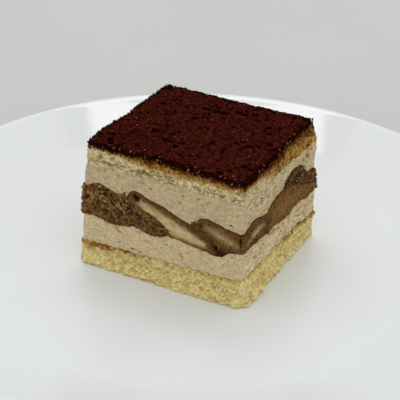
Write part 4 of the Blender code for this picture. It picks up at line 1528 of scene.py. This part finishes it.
class TIRAMISU_OT_stage(bpy.types.Operator):
    """Floor, light and camera"""

    bl_idname = "tiramisu.stage"
    bl_label = "Stage"

    def softbox(self, name, place, size, power):
        """A large soft light that shows in no reflection; the cards do that."""
        lamp = bpy.data.lights.new(name, "AREA")
        lamp.shape = "RECTANGLE"
        lamp.size, lamp.size_y = size
        lamp.energy = power
        box = bpy.data.objects.new(name, lamp)
        box.location = place
        box.visible_glossy = False
        bpy.context.scene.collection.objects.link(box)
        return box

    def sheet(self, name, outline, height, finish):
        """A flat piece of the stage."""
        mesh = bpy.data.meshes.new(name)
        mesh.from_pydata([(x, y, height) for x, y in outline], [], [(0, 1, 2, 3)])
        mesh.materials.append(finish.done())
        sheet = bpy.data.objects.new(name, mesh)
        bpy.context.scene.collection.objects.link(sheet)
        return sheet

    def card(self, name, glow, outline):
        """A bright or dark card overhead, which shows only in reflections."""
        finish = Finish(name, 0.9, 0.0)
        finish.tint((0.02, 0.02, 0.02))
        finish.shader.inputs["Emission Color"].default_value = (1.0, 1.0, 1.0, 1.0)
        finish.shader.inputs["Emission Strength"].default_value = glow
        card = self.sheet(name, outline, CARD_HEIGHT, finish)
        card.visible_camera = False
        card.visible_diffuse = False
        card.visible_shadow = False

    def camera(self, scene, stage):
        azimuth, elevation, roll = stage.azimuth, stage.elevation, stage.roll
        level = math.cos(elevation)
        back = Vector((math.sin(azimuth) * level, -math.cos(azimuth) * level, math.sin(elevation)))
        right = Vector((0.0, 0.0, 1.0)).cross(back).normalized()
        up = back.cross(right)
        side = math.cos(roll) * right + math.sin(roll) * up
        rise = -math.sin(roll) * right + math.cos(roll) * up
        lens = bpy.data.cameras.new("camera")
        lens.lens = stage.lens
        lens.sensor_width = 36.0
        camera = bpy.data.objects.new("camera", lens)
        turned = Matrix((side, rise, back)).transposed().to_4x4()
        camera.matrix_world = Matrix.Translation(Vector(stage.eye)) @ turned
        scene.collection.objects.link(camera)
        scene.camera = camera

    def execute(self, context):
        scene, stage = context.scene, context.scene.tiramisu_stage
        finish = Finish("pale_floor", 0.75, 0.2)
        finish.tint(tuple(stage.floor))
        finish.tint(tuple(value * 0.985 for value in stage.floor), finish.lumps(9.0, 0.4, 0.6))
        corners = [(x * FLOOR_HALF, y * FLOOR_HALF) for x, y in ((-1, -1), (1, -1), (1, 1), (-1, 1))]
        self.sheet("floor", corners, 0.0, finish)
        self.camera(scene, stage)
        top = self.softbox("top_softbox", *TOP_LIGHT, stage.key)
        top.rotation_euler = (0.0, 0.0, math.radians(TOP_LIGHT_TURN))
        for name, glow, outline in CARDS:
            self.card(name, glow, outline)
        front = self.softbox("front_softbox", *FRONT_LIGHT, stage.fill)
        front.rotation_euler = (LIT_POINT - front.location).to_track_quat("-Z", "Y").to_euler()
        world = bpy.data.worlds.new("studio")
        world.use_nodes = True
        air = world.node_tree.nodes["Background"]
        air.inputs["Color"].default_value = (0.98, 0.99, 1.0, 1.0)
        air.inputs["Strength"].default_value = stage.air
        scene.world = world
        scene.view_settings.view_transform = "Standard"
        return {"FINISHED"}


class TIRAMISU_PT_panel(bpy.types.Panel):
    """The slice's pieces in the 3D view's sidebar"""

    bl_label = "Tiramisu"
    bl_idname = "TIRAMISU_PT_panel"
    bl_space_type = "VIEW_3D"
    bl_region_type = "UI"
    bl_category = "Tiramisu"

    def draw(self, context):
        for operator in OPERATORS:
            self.layout.operator(operator.bl_idname)
        for name in GROUPS:
            group, box = getattr(context.scene, name), self.layout.box()
            for key in group.__annotations__:
                box.prop(group, key)


OPERATORS = (
    TIRAMISU_OT_plate,
    TIRAMISU_OT_base,
    TIRAMISU_OT_creams,
    TIRAMISU_OT_band,
    TIRAMISU_OT_top_sponge,
    TIRAMISU_OT_cocoa,
    TIRAMISU_OT_crumbs,
    TIRAMISU_OT_stage,
)
GROUPS = {
    "tiramisu_slice": TiramisuSlice,
    "tiramisu_plate": TiramisuPlate,
    "tiramisu_stage": TiramisuStage,
}
CLASSES = (*GROUPS.values(), *OPERATORS, TIRAMISU_PT_panel)


def register():
    for kind in CLASSES:
        bpy.utils.register_class(kind)
    for name, group in GROUPS.items():
        setattr(bpy.types.Scene, name, bpy.props.PointerProperty(type=group))


def unregister():
    for name in GROUPS:
        delattr(bpy.types.Scene, name)
    for kind in reversed(CLASSES):
        bpy.utils.unregister_class(kind)


def main():
    register()
    bpy.ops.tiramisu.plate()
    bpy.ops.tiramisu.base()
    bpy.ops.tiramisu.creams()
    bpy.ops.tiramisu.band()
    bpy.ops.tiramisu.top_sponge()
    bpy.ops.tiramisu.cocoa()
    bpy.ops.tiramisu.crumbs()
    bpy.ops.tiramisu.stage()


if __name__ == "__main__":
    main()
